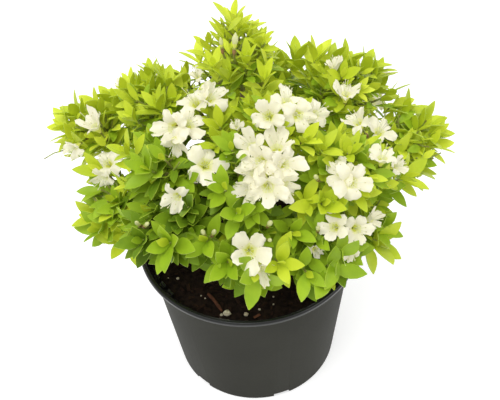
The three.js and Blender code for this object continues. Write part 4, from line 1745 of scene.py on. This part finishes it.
    def seen_blooms(self, patch: Patch) -> list[Bloom]:
        """Gives the blooms and buds of a mass that the photo shows.

        Args:
            patch: The mass as it grows.

        Returns:
            The blooms, each on its own flowering shoot.
        """
        made = []
        fork = patch.stem.point(self.seen_fork)
        right, up, _ = self.view.axes
        for number, flower in enumerate(SEEN_BLOOMS + SEEN_BUDS):
            near, middle = self.view.crown_at(Pixel(flower.column, flower.row), flower.behind)
            if near is not patch.mass:
                continue
            to_camera = (self.view.eye - middle).normalized()
            way = (to_camera + right * flower.rightward + up * flower.upward).normalized()
            closed = number >= len(SEEN_BLOOMS)
            foot = middle - way * Bloom.DEPTH * flower.size
            tip = foot - way * (self.bud_stalk if closed else self.bloom_stalk)
            shoot = Shoot(fork, tip, tip - way * self.seen_hold * (tip - fork).length)
            turn = Draws(self.seen_seed + self.seen_seed_step * number).between(0.0, math.pi)
            made.append(Bloom(tip, foot, way, turn, flower.size, shoot, closed))
        return made

    def truss_blooms(self, patch: Patch, taken: list[Bloom]) -> list[Bloom]:
        """Gives the blooms of a mass's trusses that have room, by the source's rule.

        Args:
            patch: The mass as it grows.
            taken: The blooms that are there.

        Returns:
            The blooms.
        """
        space = patch.space
        draw = patch.draw
        for _ in range(self.source_ways):
            draw()
        made: list[Bloom] = []
        for bearing, lift, count in patch.mass.trusses:
            line = direction(bearing, lift)
            room = self.truss_room if count > 1 else self.bloom_room
            tip = space.middle + line * max(space.extent(line) - room, self.shortest)
            fork = patch.stem.point(self.truss_fork)
            side, over = across_from(line)
            phase = draw()
            lean = math.radians(self.spread) if count > 1 else 0.0
            for i in range(count):
                around = spoke(side, over, 2 * math.pi * (i / count + phase))
                way = line if count > 1 else (tip - fork).normalized()
                way = (way * math.cos(lean) + around * math.sin(lean)).normalized()
                foot = tip + way * (self.pedicel if count > 1 else 0.0)
                stalk = tip if count > 1 else fork
                shoot = Shoot(fork, tip, fork.lerp(tip, 0.5))
                made.append(Bloom(stalk, foot, way, draw() * math.pi, 1.0, shoot))
        return [
            bloom for bloom in made
            if all((bloom.middle - other.middle).length > 2 * self.bloom_radius
                   for other in taken if not other.closed)
            and space.holds(bloom.middle, self.bloom_proud, self.bloom_over)
            and self.from_limbs(bloom.middle) > self.bloom_margin
        ]


@dataclass(frozen=True)
class LeafShape:
    """The outline and the form of one leaf at its common size, in millimetres.

    Attributes:
        rows: The share of the length and of the half width at each row of corners.
        length: The leaf's length.
        width: Its greatest width.
        fold: How steeply its halves rise from the midrib.
        flattening: How much less they rise at its tip, as a share.
        thickness: The thickness of the blade.
    """

    rows: tuple[tuple[float, float], ...] = (
        (0.0, 0.09), (0.1, 0.24), (0.25, 0.66), (0.42, 0.95), (0.57, 1.0), (0.74, 0.82),
        (0.89, 0.44), (1.0, 0.05),
    )
    length: float = 26.0
    width: float = 10.6
    fold: float = 0.28
    flattening: float = 0.35
    thickness: float = 0.4

    def template(self) -> Template:
        """Models the leaf.

        Returns:
            The template, with its root at the origin and its length along Y.
        """
        deselect()
        steps = len(self.rows) - 1
        bpy.ops.mesh.primitive_grid_add(x_subdivisions=2, y_subdivisions=steps, size=2)
        blade = bpy.context.object
        for corner in blade.data.vertices:
            side = round(corner.co.x)
            along, half = self.rows[round((corner.co.y + 1) / 2 * steps)]
            out = side * half * self.width / 2
            arch = self.fold * abs(out) * (1.0 - self.flattening * along)
            corner.co = (out, along * self.length, arch)
        thicken(blade, self.thickness)
        return Template.taken_from(blade)


def bent(points: np.ndarray, turn: float) -> np.ndarray:
    """Bends a shape back from its upper side along its length.

    Args:
        points: Its corners: across, along and up.
        turn: The angle between its root and its tip, in radians.

    Returns:
        The bent corners.
    """
    if abs(turn) < 1e-3:
        return points.copy()
    length = points[:, 1].max()
    angle = turn * points[:, 1] / length
    radius = length / turn
    made = points.copy()
    made[:, 1] = np.sin(angle) * (radius + points[:, 2])
    made[:, 2] = np.cos(angle) * (radius + points[:, 2]) - radius
    return made


def placed(points: np.ndarray, root: Vector, along: Vector, up: Vector) -> np.ndarray:
    """Puts a shape's corners in place, by its root and the unit vectors of its length and top."""
    axes = np.array([tuple(along.cross(up)), tuple(along), tuple(up)])
    return points @ axes + np.array(root)


@dataclass(frozen=True)
class Trait:
    """A measure of a spray's leaves: its range, its gain low on the plant and its loss high up."""

    least: float
    most: float
    low: float
    high: float

    def value(self, low: float, high: float, draw: Draws) -> float:
        """Draws a value for a spray that is low and high by these shares."""
        return draw.between(self.least, self.most) + self.low * low - self.high * high


@dataclass(frozen=True)
class Spray:
    """The leaves at the end of one shoot.

    Attributes:
        shoot: The shoot.
        tint: The number of their tint.
        size: Their size, as a share.
        width: Their width, as a share.
        opening: How far they open, as a share.
        free: True for leaves that may leave the space of their mass.
    """

    shoot: Shoot
    tint: int
    size: float
    width: float
    opening: float
    free: bool


class Foliage:
    """The leaves and the young twigs of all masses.

    Its constants are millimetres, degrees, counts and shares, and ROLL is radians.
    """

    MOST_SPOTS = 60000
    SPOTS = ((0.45, 0.2), (0.72, 0.5), (1.0, 1.0))
    SAG = 0.35
    SKIRT = 8.0
    FUNNEL = 3.0
    TRIES = ((1.0, 1.0), (1.18, 1.0), (0.8, 0.95), (1.0, 0.8))
    PHASE = 14.0
    SWAY = 11.0
    ROLL = 0.35
    LIFT = 0.4
    LOW = 235.0
    HIGH = 240.0
    FADE = 60.0
    SIZE = Trait(0.86, 1.04, 0.14, 0.18)
    WIDTH = Trait(0.88, 1.04, 0.28, 0.08)
    OPENING = Trait(0.8, 0.95, 0.2, 0.16)
    SHOOT_SHARES = (0.4, 0.7, 1.0)
    TWIG_SIDES = 5

    def __init__(self, growth: Growth) -> None:
        """Prepares the leaf and the gatherings.

        Args:
            growth: How the masses grow.
        """
        self.growth = growth
        self.leaf = LeafShape().template()
        half = len(self.leaf.points) // 2
        # The faces round each leaf's edge take the second finish, the painted highlight.
        self.leaf_slots = [int(min(face) < half <= max(face)) for face in self.leaf.faces]
        self.leaves = {
            tint: Gathering(tint.value.name.replace("leaf", "leaves"), [tint.value, LEAF_EDGE_HIGHLIGHT])
            for tint in Tint
        }
        self.twigs = Gathering("young_twigs", [YOUNG_TWIG], crease=60.0)
        self.spots = np.zeros((self.MOST_SPOTS, 3))
        self.spot_count = 0
        self.leaf_count = 0

    def twig(self, line: Sequence[Vector], radii: tuple[float, float]) -> None:
        """Adds one twig along a line, with its radii at its foot and at its tip."""
        self.twigs.take(tube(line, np.linspace(*radii, len(line)).tolist(), self.TWIG_SIDES))

    def has_room(
        self, root: Vector, line: Vector, length: float, curl: float, patch: Patch, free: bool
    ) -> np.ndarray | None:
        """Finds out if a leaf has room.

        Args:
            root: The leaf's root.
            line: The unit vector of its length.
            length: Its length.
            curl: The angle by which it bends back, in radians.
            patch: Its mass as it grows.
            free: True for a leaf that may leave the mass's space.

        Returns:
            The points that the leaf takes up, or None where it has no room.
        """
        growth = self.growth
        mass = patch.mass
        points = [root + line * length * share for share, _ in self.SPOTS]
        for (_, bow), point in zip(self.SPOTS, points):
            point.z -= self.SAG * curl * length * bow * math.hypot(line.x, line.y)
            droop = mass.droop if point.z < patch.space.middle.z - self.SKIRT else 1.0
            proud = None if free else mass.proud * droop
            if not patch.space.holds(point, proud, growth.leaf_over):
                return None
            if growth.from_limbs(point) < growth.limb_margin:
                return None
            for bloom in patch.blooms:
                way = point - bloom.foot
                ahead = way.dot(bloom.way)
                beside = (way - bloom.way * ahead).length
                before, clear = growth.bud_clear if bloom.closed else growth.bloom_clear
                if self.FUNNEL < ahead < before and beside < clear:
                    return None
        taken = np.array([tuple(point) for point in points])
        placed_so_far = self.spots[: self.spot_count]
        for point in taken[1:]:
            if (((placed_so_far - point) ** 2).sum(1) < growth.leaf_apart**2).any():
                return None
        return taken

    def add_tier(self, spray: Spray, tier: Tier, patch: Patch) -> None:
        """Adds one ring of leaves to a shoot.

        Args:
            spray: The spray that the ring is part of.
            tier: The ring.
            patch: Its mass as it grows.
        """
        draw = patch.draw
        tints = list(Tint)
        number = min(max(spray.tint + tier.aging, 0), len(tints) - 1)
        heading = spray.shoot.heading
        side, over = across_from(heading)
        phase = 360.0 * draw()
        for i in range(tier.count):
            stray = draw.between(-self.PHASE, self.PHASE)
            around = spoke(side, over, math.radians(phase + 360.0 * i / tier.count + stray))
            length = tier.length * spray.size * draw.between(0.86, 1.12)
            curl = math.radians(tier.curl * draw.between(0.3, 1.7))
            root = spray.shoot.tip - heading * (tier.below + draw.between(0.0, 2.0))
            sway = draw.between(-self.SWAY, self.SWAY)
            roll = draw.between(-self.ROLL, self.ROLL)
            for lean, share in self.TRIES:
                tilt = math.radians((tier.tilt * spray.opening + sway) * lean)
                line = (heading * math.cos(tilt) + around * math.sin(tilt)).normalized()
                spots = self.has_room(root, line, length * share, curl, patch, spray.free)
                if spots is None:
                    continue
                self.spots[self.spot_count : self.spot_count + len(spots)] = spots
                self.spot_count += len(spots)
                self.leaf_count += 1
                up = heading * math.sin(tilt) - around * math.cos(tilt) + UP * self.LIFT
                up = (up - line * up.dot(line)).normalized()
                up = Matrix.Rotation(roll, 3, line) @ up
                scale = length * share / self.growth.leaf_length
                slim = scale * spray.width * draw.between(0.92, 1.08)
                points = bent(self.leaf.points * np.array([slim, scale, scale]), curl)
                self.leaves[tints[number]].add(
                    placed(points, root, line, up), self.leaf.faces, self.leaf_slots
                )
                break

    def add_spray(self, shoot: Shoot, tiers: Sequence[Tier], patch: Patch) -> None:
        """Adds the leaves of one shoot.

        Args:
            shoot: The shoot.
            tiers: Its rings of leaves.
            patch: Its mass as it grows.
        """
        # The spray's tint follows its mass's shade, which is partly painted light and shade.
        tint = round(patch.mass.shade + patch.draw.between(-0.6, 0.6))
        low = min(max((self.LOW - shoot.tip.z) / self.FADE, 0.0), 1.0)
        high = min(max((shoot.tip.z - self.HIGH) / self.FADE, 0.0), 1.0)
        size, width, opening = (
            trait.value(low, high, patch.draw) for trait in (self.SIZE, self.WIDTH, self.OPENING)
        )
        tint = min(max(tint, 0), len(Tint) - 1)
        spray = Spray(shoot, tint, size, width, opening, tiers is LONG_TIERS)
        for tier in tiers:
            self.add_tier(spray, tier, patch)

    def grow(self, patch: Patch) -> None:
        """Grows the twigs and the leaves of one mass.

        Args:
            patch: The mass as it grows.
        """
        growth = self.growth
        mass = patch.mass
        self.twig(patch.stem.line(growth.shoot_steps), growth.stem_radii)
        stray = StrayStalk()
        if stray.mass == mass.name:
            line = [growth.view.beside(mass, pixel) for pixel in stray.pixels]
            self.twig([patch.stem.point(growth.long_fork), *line], stray.radii)
        for shoot in growth.long_shoots(patch):
            self.twig(shoot.line(growth.shoot_steps), growth.shoot_radii)
            self.add_spray(shoot, LONG_TIERS, patch)
        for shoot in growth.shoots(patch):
            apart = min(growth.from_limbs(shoot.point(share)) for share in self.SHOOT_SHARES)
            if apart < growth.shoot_margin:
                continue
            self.twig(shoot.line(growth.shoot_steps), growth.shoot_radii)
            self.add_spray(shoot, TIP_TIERS, patch)
            for twig in growth.sides_of(shoot, patch):
                self.twig(twig.line(growth.side_steps), growth.side_radii)
                self.add_spray(twig, SIDE_TIERS, patch)

    def build(self, blooms: Sequence[Bloom]) -> None:
        """Grows all masses and joins their leaves and twigs.

        Args:
            blooms: The blooms of the whole plant.
        """
        for mass in MASSES:
            before = self.leaf_count
            self.grow(self.growth.patch(mass, blooms))
            LOG.info("%s: %d leaves", mass.name, self.leaf_count - before)
        nodes = [f"foliage_{mass.name}" for mass in MASSES]
        for gathering in self.leaves.values():
            if gathering.count:
                hand_over(gathering.piece(), nodes)
        hand_over(self.twigs.piece(), nodes)


@dataclass
class PetalShape:
    """One petal of a bloom, from its throat to its tip, in millimetres and shares.

    Attributes:
        rows: The distance out, the height and the half width at each row of corners.
        hinge: How far out the lobe leaves the funnel.
        cup: How far the petal's edges stand under its middle, least and most.
        openness: How steeply all lobes of a bloom rise, least and most.
        lean: How much less or more steeply one lobe rises.
        twist: How far its lobe twists at most.
        ruffle: The height of the waves along its edge.
        curl: How far its tip bends up or down, least and most.
        slimness: The width of its tip, least and most.
        stretch: How much longer its lobe is, least and most.
        tip: Where its tip's teeth start, and how far on they come to the full.
        throat: The height under which it has the throat's colour.
        base: The height under which it has its base's colour.
    """

    rows: tuple[tuple[float, float, float], ...] = (
        (0.9, 0.0, 0.8), (1.9, 4.4, 1.7), (3.3, 8.8, 3.1), (5.2, 12.2, 4.6), (7.8, 14.4, 5.5),
        (10.8, 15.8, 6.1), (13.7, 16.5, 6.4), (16.2, 16.6, 5.9), (18.2, 16.4, 4.6),
    )
    columns: int = 8
    hinge: float = 4.2
    cup: tuple[float, float] = (-1.2, 2.6)
    openness: tuple[float, float] = (-0.1, 0.7)
    lean: tuple[float, float] = (-0.45, 0.4)
    twist: float = 0.55
    ruffle: float = 1.9
    thickness: float = 0.3
    teeth: float = 0.45
    half_width: float = 6.7
    reach: float = 17.8
    curl: tuple[float, float] = (-0.5, 0.2)
    slimness: tuple[float, float] = (0.78, 1.12)
    stretch: tuple[float, float] = (-0.2, 0.08)
    notch: float = 0.12
    tip: tuple[float, float] = (14.5, 3.0)
    throat: float = 9.0
    base: float = 12.2

    def template(self) -> Template:
        """Models the petal.

        Returns:
            The template, with the bloom's axis along Z and the petal's length along Y.
        """
        deselect()
        steps = len(self.rows) - 1
        bpy.ops.mesh.primitive_grid_add(
            x_subdivisions=self.columns, y_subdivisions=steps, size=2
        )
        petal = bpy.context.object
        for corner in petal.data.vertices:
            side = corner.co.x
            row = round((corner.co.y + 1) / 2 * steps)
            out, high, half = self.rows[row]
            corner.co = (side * half, out, high)
        thicken(petal, self.thickness)
        return Template.taken_from(petal)


@dataclass(frozen=True)
class BudShape:
    """A closed flower bud at full size, in millimetres.

    Attributes:
        length: Its length.
        radii: Its radius at even steps from its foot to its tip.
        sides: The number of its sides.
        wrap: The depth of the grooves between its rolled petals, as a share.
        turn: The angle by which the grooves wind round it, in radians.
        petals: The number of the grooves.
        green: Under this height it is green.
    """

    length: float = 22.0
    radii: tuple[float, ...] = (0.0, 1.5, 2.3, 3.1, 3.7, 3.6, 2.9, 1.6, 0.0)
    sides: int = 10
    wrap: float = 0.16
    turn: float = 1.9
    petals: int = 5
    green: float = 8.0

    def template(self) -> Template:
        """Models the bud.

        Returns:
            The template, with its foot at the origin and its length along Z.
        """
        deselect()
        steps = len(self.radii) - 1
        bpy.ops.mesh.primitive_uv_sphere_add(segments=self.sides, ring_count=steps, radius=1.0)
        bud = bpy.context.object
        for corner in bud.data.vertices:
            angle = math.atan2(corner.co.y, corner.co.x)
            step = round(math.acos(min(max(-corner.co.z, -1.0), 1.0)) / math.pi * steps)
            share = step / steps
            groove = 1.0 + self.wrap * share * math.cos(self.petals * angle)
            radius = self.radii[step] * groove
            winding = angle + self.turn * share
            corner.co = (radius * math.cos(winding), radius * math.sin(winding),
                         share * self.length)
        return Template.taken_from(bud)


@dataclass(frozen=True)
class StamenShape:
    """One stamen with its anther, and how much longer the style is, in millimetres.

    The filament's rings are at shares of its length, and the anther's are distances beyond it.
    """

    foot: float = 2.0
    lengths: tuple[float, float] = (17.0, 22.5)
    style: float = 4.5
    spreads: tuple[float, float] = (2.5, 7.0)
    curve: float = 1.6
    filament: Rings = ((0.0, 0.26), (0.4, 0.23), (0.75, 0.2), (1.0, 0.18))
    anther: Rings = ((-0.4, 0.25), (0.5, 0.48), (1.3, 0.2))


@dataclass(frozen=True)
class StalkShape:
    """The stalk of a bloom, on its flowering shoot with bud scales, in millimetres.

    The rings of stalk and shoot are at shares of their length, and those of the bud scales are
    distances beyond the shoot. The stalk sags at a share of its length, and its green cup reaches
    up the bloom.
    """

    bend: float = 0.6
    sag: float = 0.8
    cup: float = 0.6
    sides: int = 6
    stalk: Rings = ((0.0, 0.8), (0.3, 0.7), (0.6, 0.7), (0.85, 0.9), (1.0, 1.5))
    shoot: Rings = ((0.0, 1.1), (0.25, 1.05), (0.5, 1.0), (0.75, 0.9), (1.0, 0.8))
    scales: Rings = ((-2.5, 0.8), (-1.0, 1.3), (0.7, 1.4), (2.2, 0.9))


class Blossom:
    """The blooms and buds of all masses, with their stalks, stamens and bud scales."""

    PETALS = 5
    STAMENS = 6
    SEED = 901
    SEED_STEP = 31

    def __init__(self) -> None:
        """Prepares the shapes and the gatherings."""
        self.shape = PetalShape()
        self.stamen = StamenShape()
        self.stalk = StalkShape()
        self.petal = self.shape.template()
        self.petals = Gathering("petals", [PETAL, PALE_BASE, THROAT], crease=60.0)
        self.stamens = Gathering("stamens", [FILAMENT, ANTHER], crease=60.0)
        self.stalks = Gathering("flower_stalks", [YOUNG_TWIG, BUD_SCALE], crease=60.0)
        self.buds = Gathering("flower_buds", [BUD, THROAT], crease=60.0)
        bud = BudShape()
        self.bud = bud.template()
        self.bud_slots = [int(height < bud.green) for height in self.bud.heights()]
        self.petal_slots = [
            int(height < self.shape.throat) + int(height < self.shape.base)
            for height in self.petal.heights()
        ]

    def lobe(self, openness: float, draw: Draws) -> np.ndarray:
        """Gives one petal with its own lean, twist, cup and ruffles.

        Args:
            openness: How steeply the bloom's lobes rise.
            draw: The seeded draws.

        Returns:
            The petal's corners.
        """
        shape = self.shape
        points = self.petal.points.copy()
        across = points[:, 0] / shape.half_width
        beyond = np.clip(points[:, 1] - shape.hinge, 0.0, None)
        free = beyond / (shape.reach - shape.hinge)
        lean = openness + draw.between(*shape.lean)
        curl = draw.between(*shape.curl)
        twist = draw.between(-shape.twist, shape.twist)
        edge = np.sin(5.5 * across + 2 * math.pi * draw())
        side = np.sin(9.0 * free * np.sign(across) + 2 * math.pi * draw())
        rise = lean * beyond + curl * beyond * free
        rise += twist * points[:, 0] * free * 1.6
        rise -= draw.between(*shape.cup) * across**2 * free * 1.5
        rise += shape.ruffle * (0.6 * edge + 0.7 * side * np.abs(across)) * free
        points[:, 2] += rise
        points[:, 1] -= (1.0 - math.cos(lean)) * beyond * 0.6
        wave = np.sin(13.0 * free + 3.0 * np.sign(across) + 2 * math.pi * draw())
        slimness = draw.between(*shape.slimness) - 1.0 + shape.notch * wave
        points[:, 0] *= 1.0 + slimness * free
        start, run = shape.tip
        last = np.clip((points[:, 1] - start) / run, 0.0, 1.0)
        teeth = shape.teeth * np.sin(9.0 * across + 2 * math.pi * draw())
        longer = draw.between(*shape.stretch) * beyond
        points[:, 1] += longer - last * (teeth + 3.0 * across**2)
        return points

    def add_petals(self, bloom: Bloom, draw: Draws) -> None:
        """Adds a bloom's petals, each ruffled in its own way.

        Args:
            bloom: The bloom.
            draw: The seeded draws.
        """
        size = bloom.size * draw.between(0.82, 0.95)
        rise = draw.between(*self.shape.openness) + max(0.9 - bloom.size, 0.0)
        for i in range(self.PETALS):
            points = self.lobe(rise, draw) * size
            turn = bloom.turn + 2 * math.pi * (i + draw.between(-0.13, 0.13)) / self.PETALS
            self.petals.add(bloom.put(points, turn), self.petal.faces, self.petal_slots)

    def add_stamens(self, bloom: Bloom, draw: Draws) -> None:
        """Adds a bloom's stamens and its longer style.

        Args:
            bloom: The bloom.
            draw: The seeded draws.
        """
        shape = self.stamen
        side, over = across_from(bloom.way)
        for i in range(self.STAMENS):
            around = spoke(side, over, 2 * math.pi * (i + 0.6 * draw()) / self.STAMENS)
            style = shape.style if i == 0 else 0.0
            length = (draw.between(*shape.lengths) + style) * bloom.size
            spread = draw.between(*shape.spreads) * bloom.size
            line = [
                bloom.foot + bloom.way * (shape.foot + length * share)
                + around * spread * share**shape.curve
                for share, _ in shape.filament
            ]
            self.stamens.take(tube(line, [radius for _, radius in shape.filament], 4))
            way = (line[-1] - line[-2]).normalized()
            cap = [line[-1] + way * ahead for ahead, _ in shape.anther]
            self.stamens.take(tube(cap, [radius for _, radius in shape.anther], 5), 1)

    def add_bud(self, bloom: Bloom) -> None:
        """Adds a closed bud."""
        points = bloom.put(self.bud.points * bloom.size, bloom.turn)
        self.buds.add(points, self.bud.faces, self.bud_slots)

    def add_stalk(self, bloom: Bloom) -> None:
        """Adds a bloom's stalk with its green cup, its flowering shoot and the bud scales.

        Args:
            bloom: The bloom.
        """
        shape = self.stalk
        bend = bloom.stalk.lerp(bloom.foot, shape.bend) - UP * shape.sag
        stalk = Shoot(bloom.stalk, bloom.foot + bloom.way * shape.cup, bend)
        shoot = bloom.shoot
        self.stalks.take(ringed(stalk.point, shape.stalk, shape.sides))
        self.stalks.take(ringed(shoot.point, shape.shoot, shape.sides))
        scales = ringed(lambda ahead: shoot.tip + shoot.heading * ahead, shape.scales, shape.sides)
        self.stalks.take(scales, 1)

    def build(self, blooms: Sequence[Bloom]) -> None:
        """Models all blooms.

        Args:
            blooms: The blooms of the whole plant.
        """
        for i, bloom in enumerate(blooms):
            draw = Draws(self.SEED + self.SEED_STEP * i)
            self.add_stalk(bloom)
            if bloom.closed:
                self.add_bud(bloom)
            else:
                self.add_petals(bloom, draw)
                self.add_stamens(bloom, draw)
        for gathering in (self.petals, self.stamens, self.stalks, self.buds):
            hand_over(gathering.piece())


@dataclass(frozen=True)
class SoftLight:
    """A broad studio light that faces the plant, in degrees, metres and watts."""

    name: str
    bearing: float
    lift: float
    distance: float
    size: float
    power: float


@dataclass
class Studio:
    """The pale floor, the glow all round, the lights, their aim in metres, and the camera."""

    view: PhotoView
    aim: Vector = field(default_factory=lambda: Vector((0.0, 0.0, 0.2)))
    glow: float = 0.66
    lights: tuple[SoftLight, ...] = (
        SoftLight("key_light", -35.0, 66.0, 1.9, 1.3, 24.0),
        SoftLight("fill_light", 70.0, 45.0, 2.2, 1.8, 7.0),
        SoftLight("back_light", 170.0, 60.0, 2.2, 1.6, 10.0),
    )

    def floor(self) -> None:
        """Lays the floor."""
        deselect()
        bpy.ops.mesh.primitive_plane_add(size=12.0)
        floor = bpy.context.object
        floor.name = "floor"
        floor.data.materials.append(PALE_FLOOR.material())

    def light(self, soft: SoftLight) -> None:
        """Hangs one light.

        Args:
            soft: The light.
        """
        data = bpy.data.lights.new(soft.name, "AREA")
        data.size = soft.size
        data.energy = soft.power
        lamp = bpy.data.objects.new(soft.name, data)
        bpy.context.scene.collection.objects.link(lamp)
        way = direction(soft.bearing, soft.lift)
        lamp.location = self.aim + way * soft.distance
        lamp.rotation_euler = (-way).to_track_quat("-Z", "Y").to_euler()

    def world(self) -> None:
        """Lets soft white light come from all round."""
        world = bpy.data.worlds.new("studio")
        world.use_nodes = True
        world.node_tree.nodes["Background"].inputs["Color"].default_value = (1, 1, 1, 1)
        world.node_tree.nodes["Background"].inputs["Strength"].default_value = self.glow
        bpy.context.scene.world = world

    def camera(self) -> None:
        """Sets up the camera at the photograph's angle."""
        data = bpy.data.cameras.new("camera")
        data.sensor_width = 36.0
        data.lens = data.sensor_width * self.view.zoom / (2.0 * self.view.middle.column)
        data.clip_start = 0.01
        camera = bpy.data.objects.new("camera", data)
        bpy.context.scene.collection.objects.link(camera)
        right, up, ahead = self.view.axes
        axes = Matrix((right, up, -ahead)).transposed()
        camera.matrix_world = Matrix.Translation(self.view.place) @ axes.to_4x4()
        bpy.context.scene.camera = camera

    def build(self) -> None:
        """Sets up the studio."""
        self.floor()
        self.world()
        self.camera()
        for soft in self.lights:
            self.light(soft)
        bpy.context.scene.view_settings.view_transform = "Standard"


def grow_blooms(growth: Growth) -> list[Bloom]:
    """Places the blooms of all masses, one mass after another.

    Args:
        growth: How the masses grow.

    Returns:
        The blooms.
    """
    blooms: list[Bloom] = []
    for mass in MASSES:
        patch = growth.patch(mass)
        blooms += growth.seen_blooms(patch)
        blooms += growth.truss_blooms(patch, blooms)
    return blooms


def main() -> None:
    """Builds the studio and the plant."""
    logging.basicConfig(level=logging.INFO, format="%(message)s")
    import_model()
    view = PhotoView()
    Studio(view).build()
    pot = NurseryPot()
    pot.build()
    PottingMix(pot, view).build()
    branchwork = Branchwork()
    branchwork.build()
    growth = Growth(branchwork, view)
    blooms = grow_blooms(growth)
    LOG.info("%d blooms", len(blooms))
    Blossom().build(blooms)
    foliage = Foliage(growth)
    foliage.build(blooms)
    LOG.info("%d leaves", foliage.leaf_count)


if __name__ == "__main__":
    main()
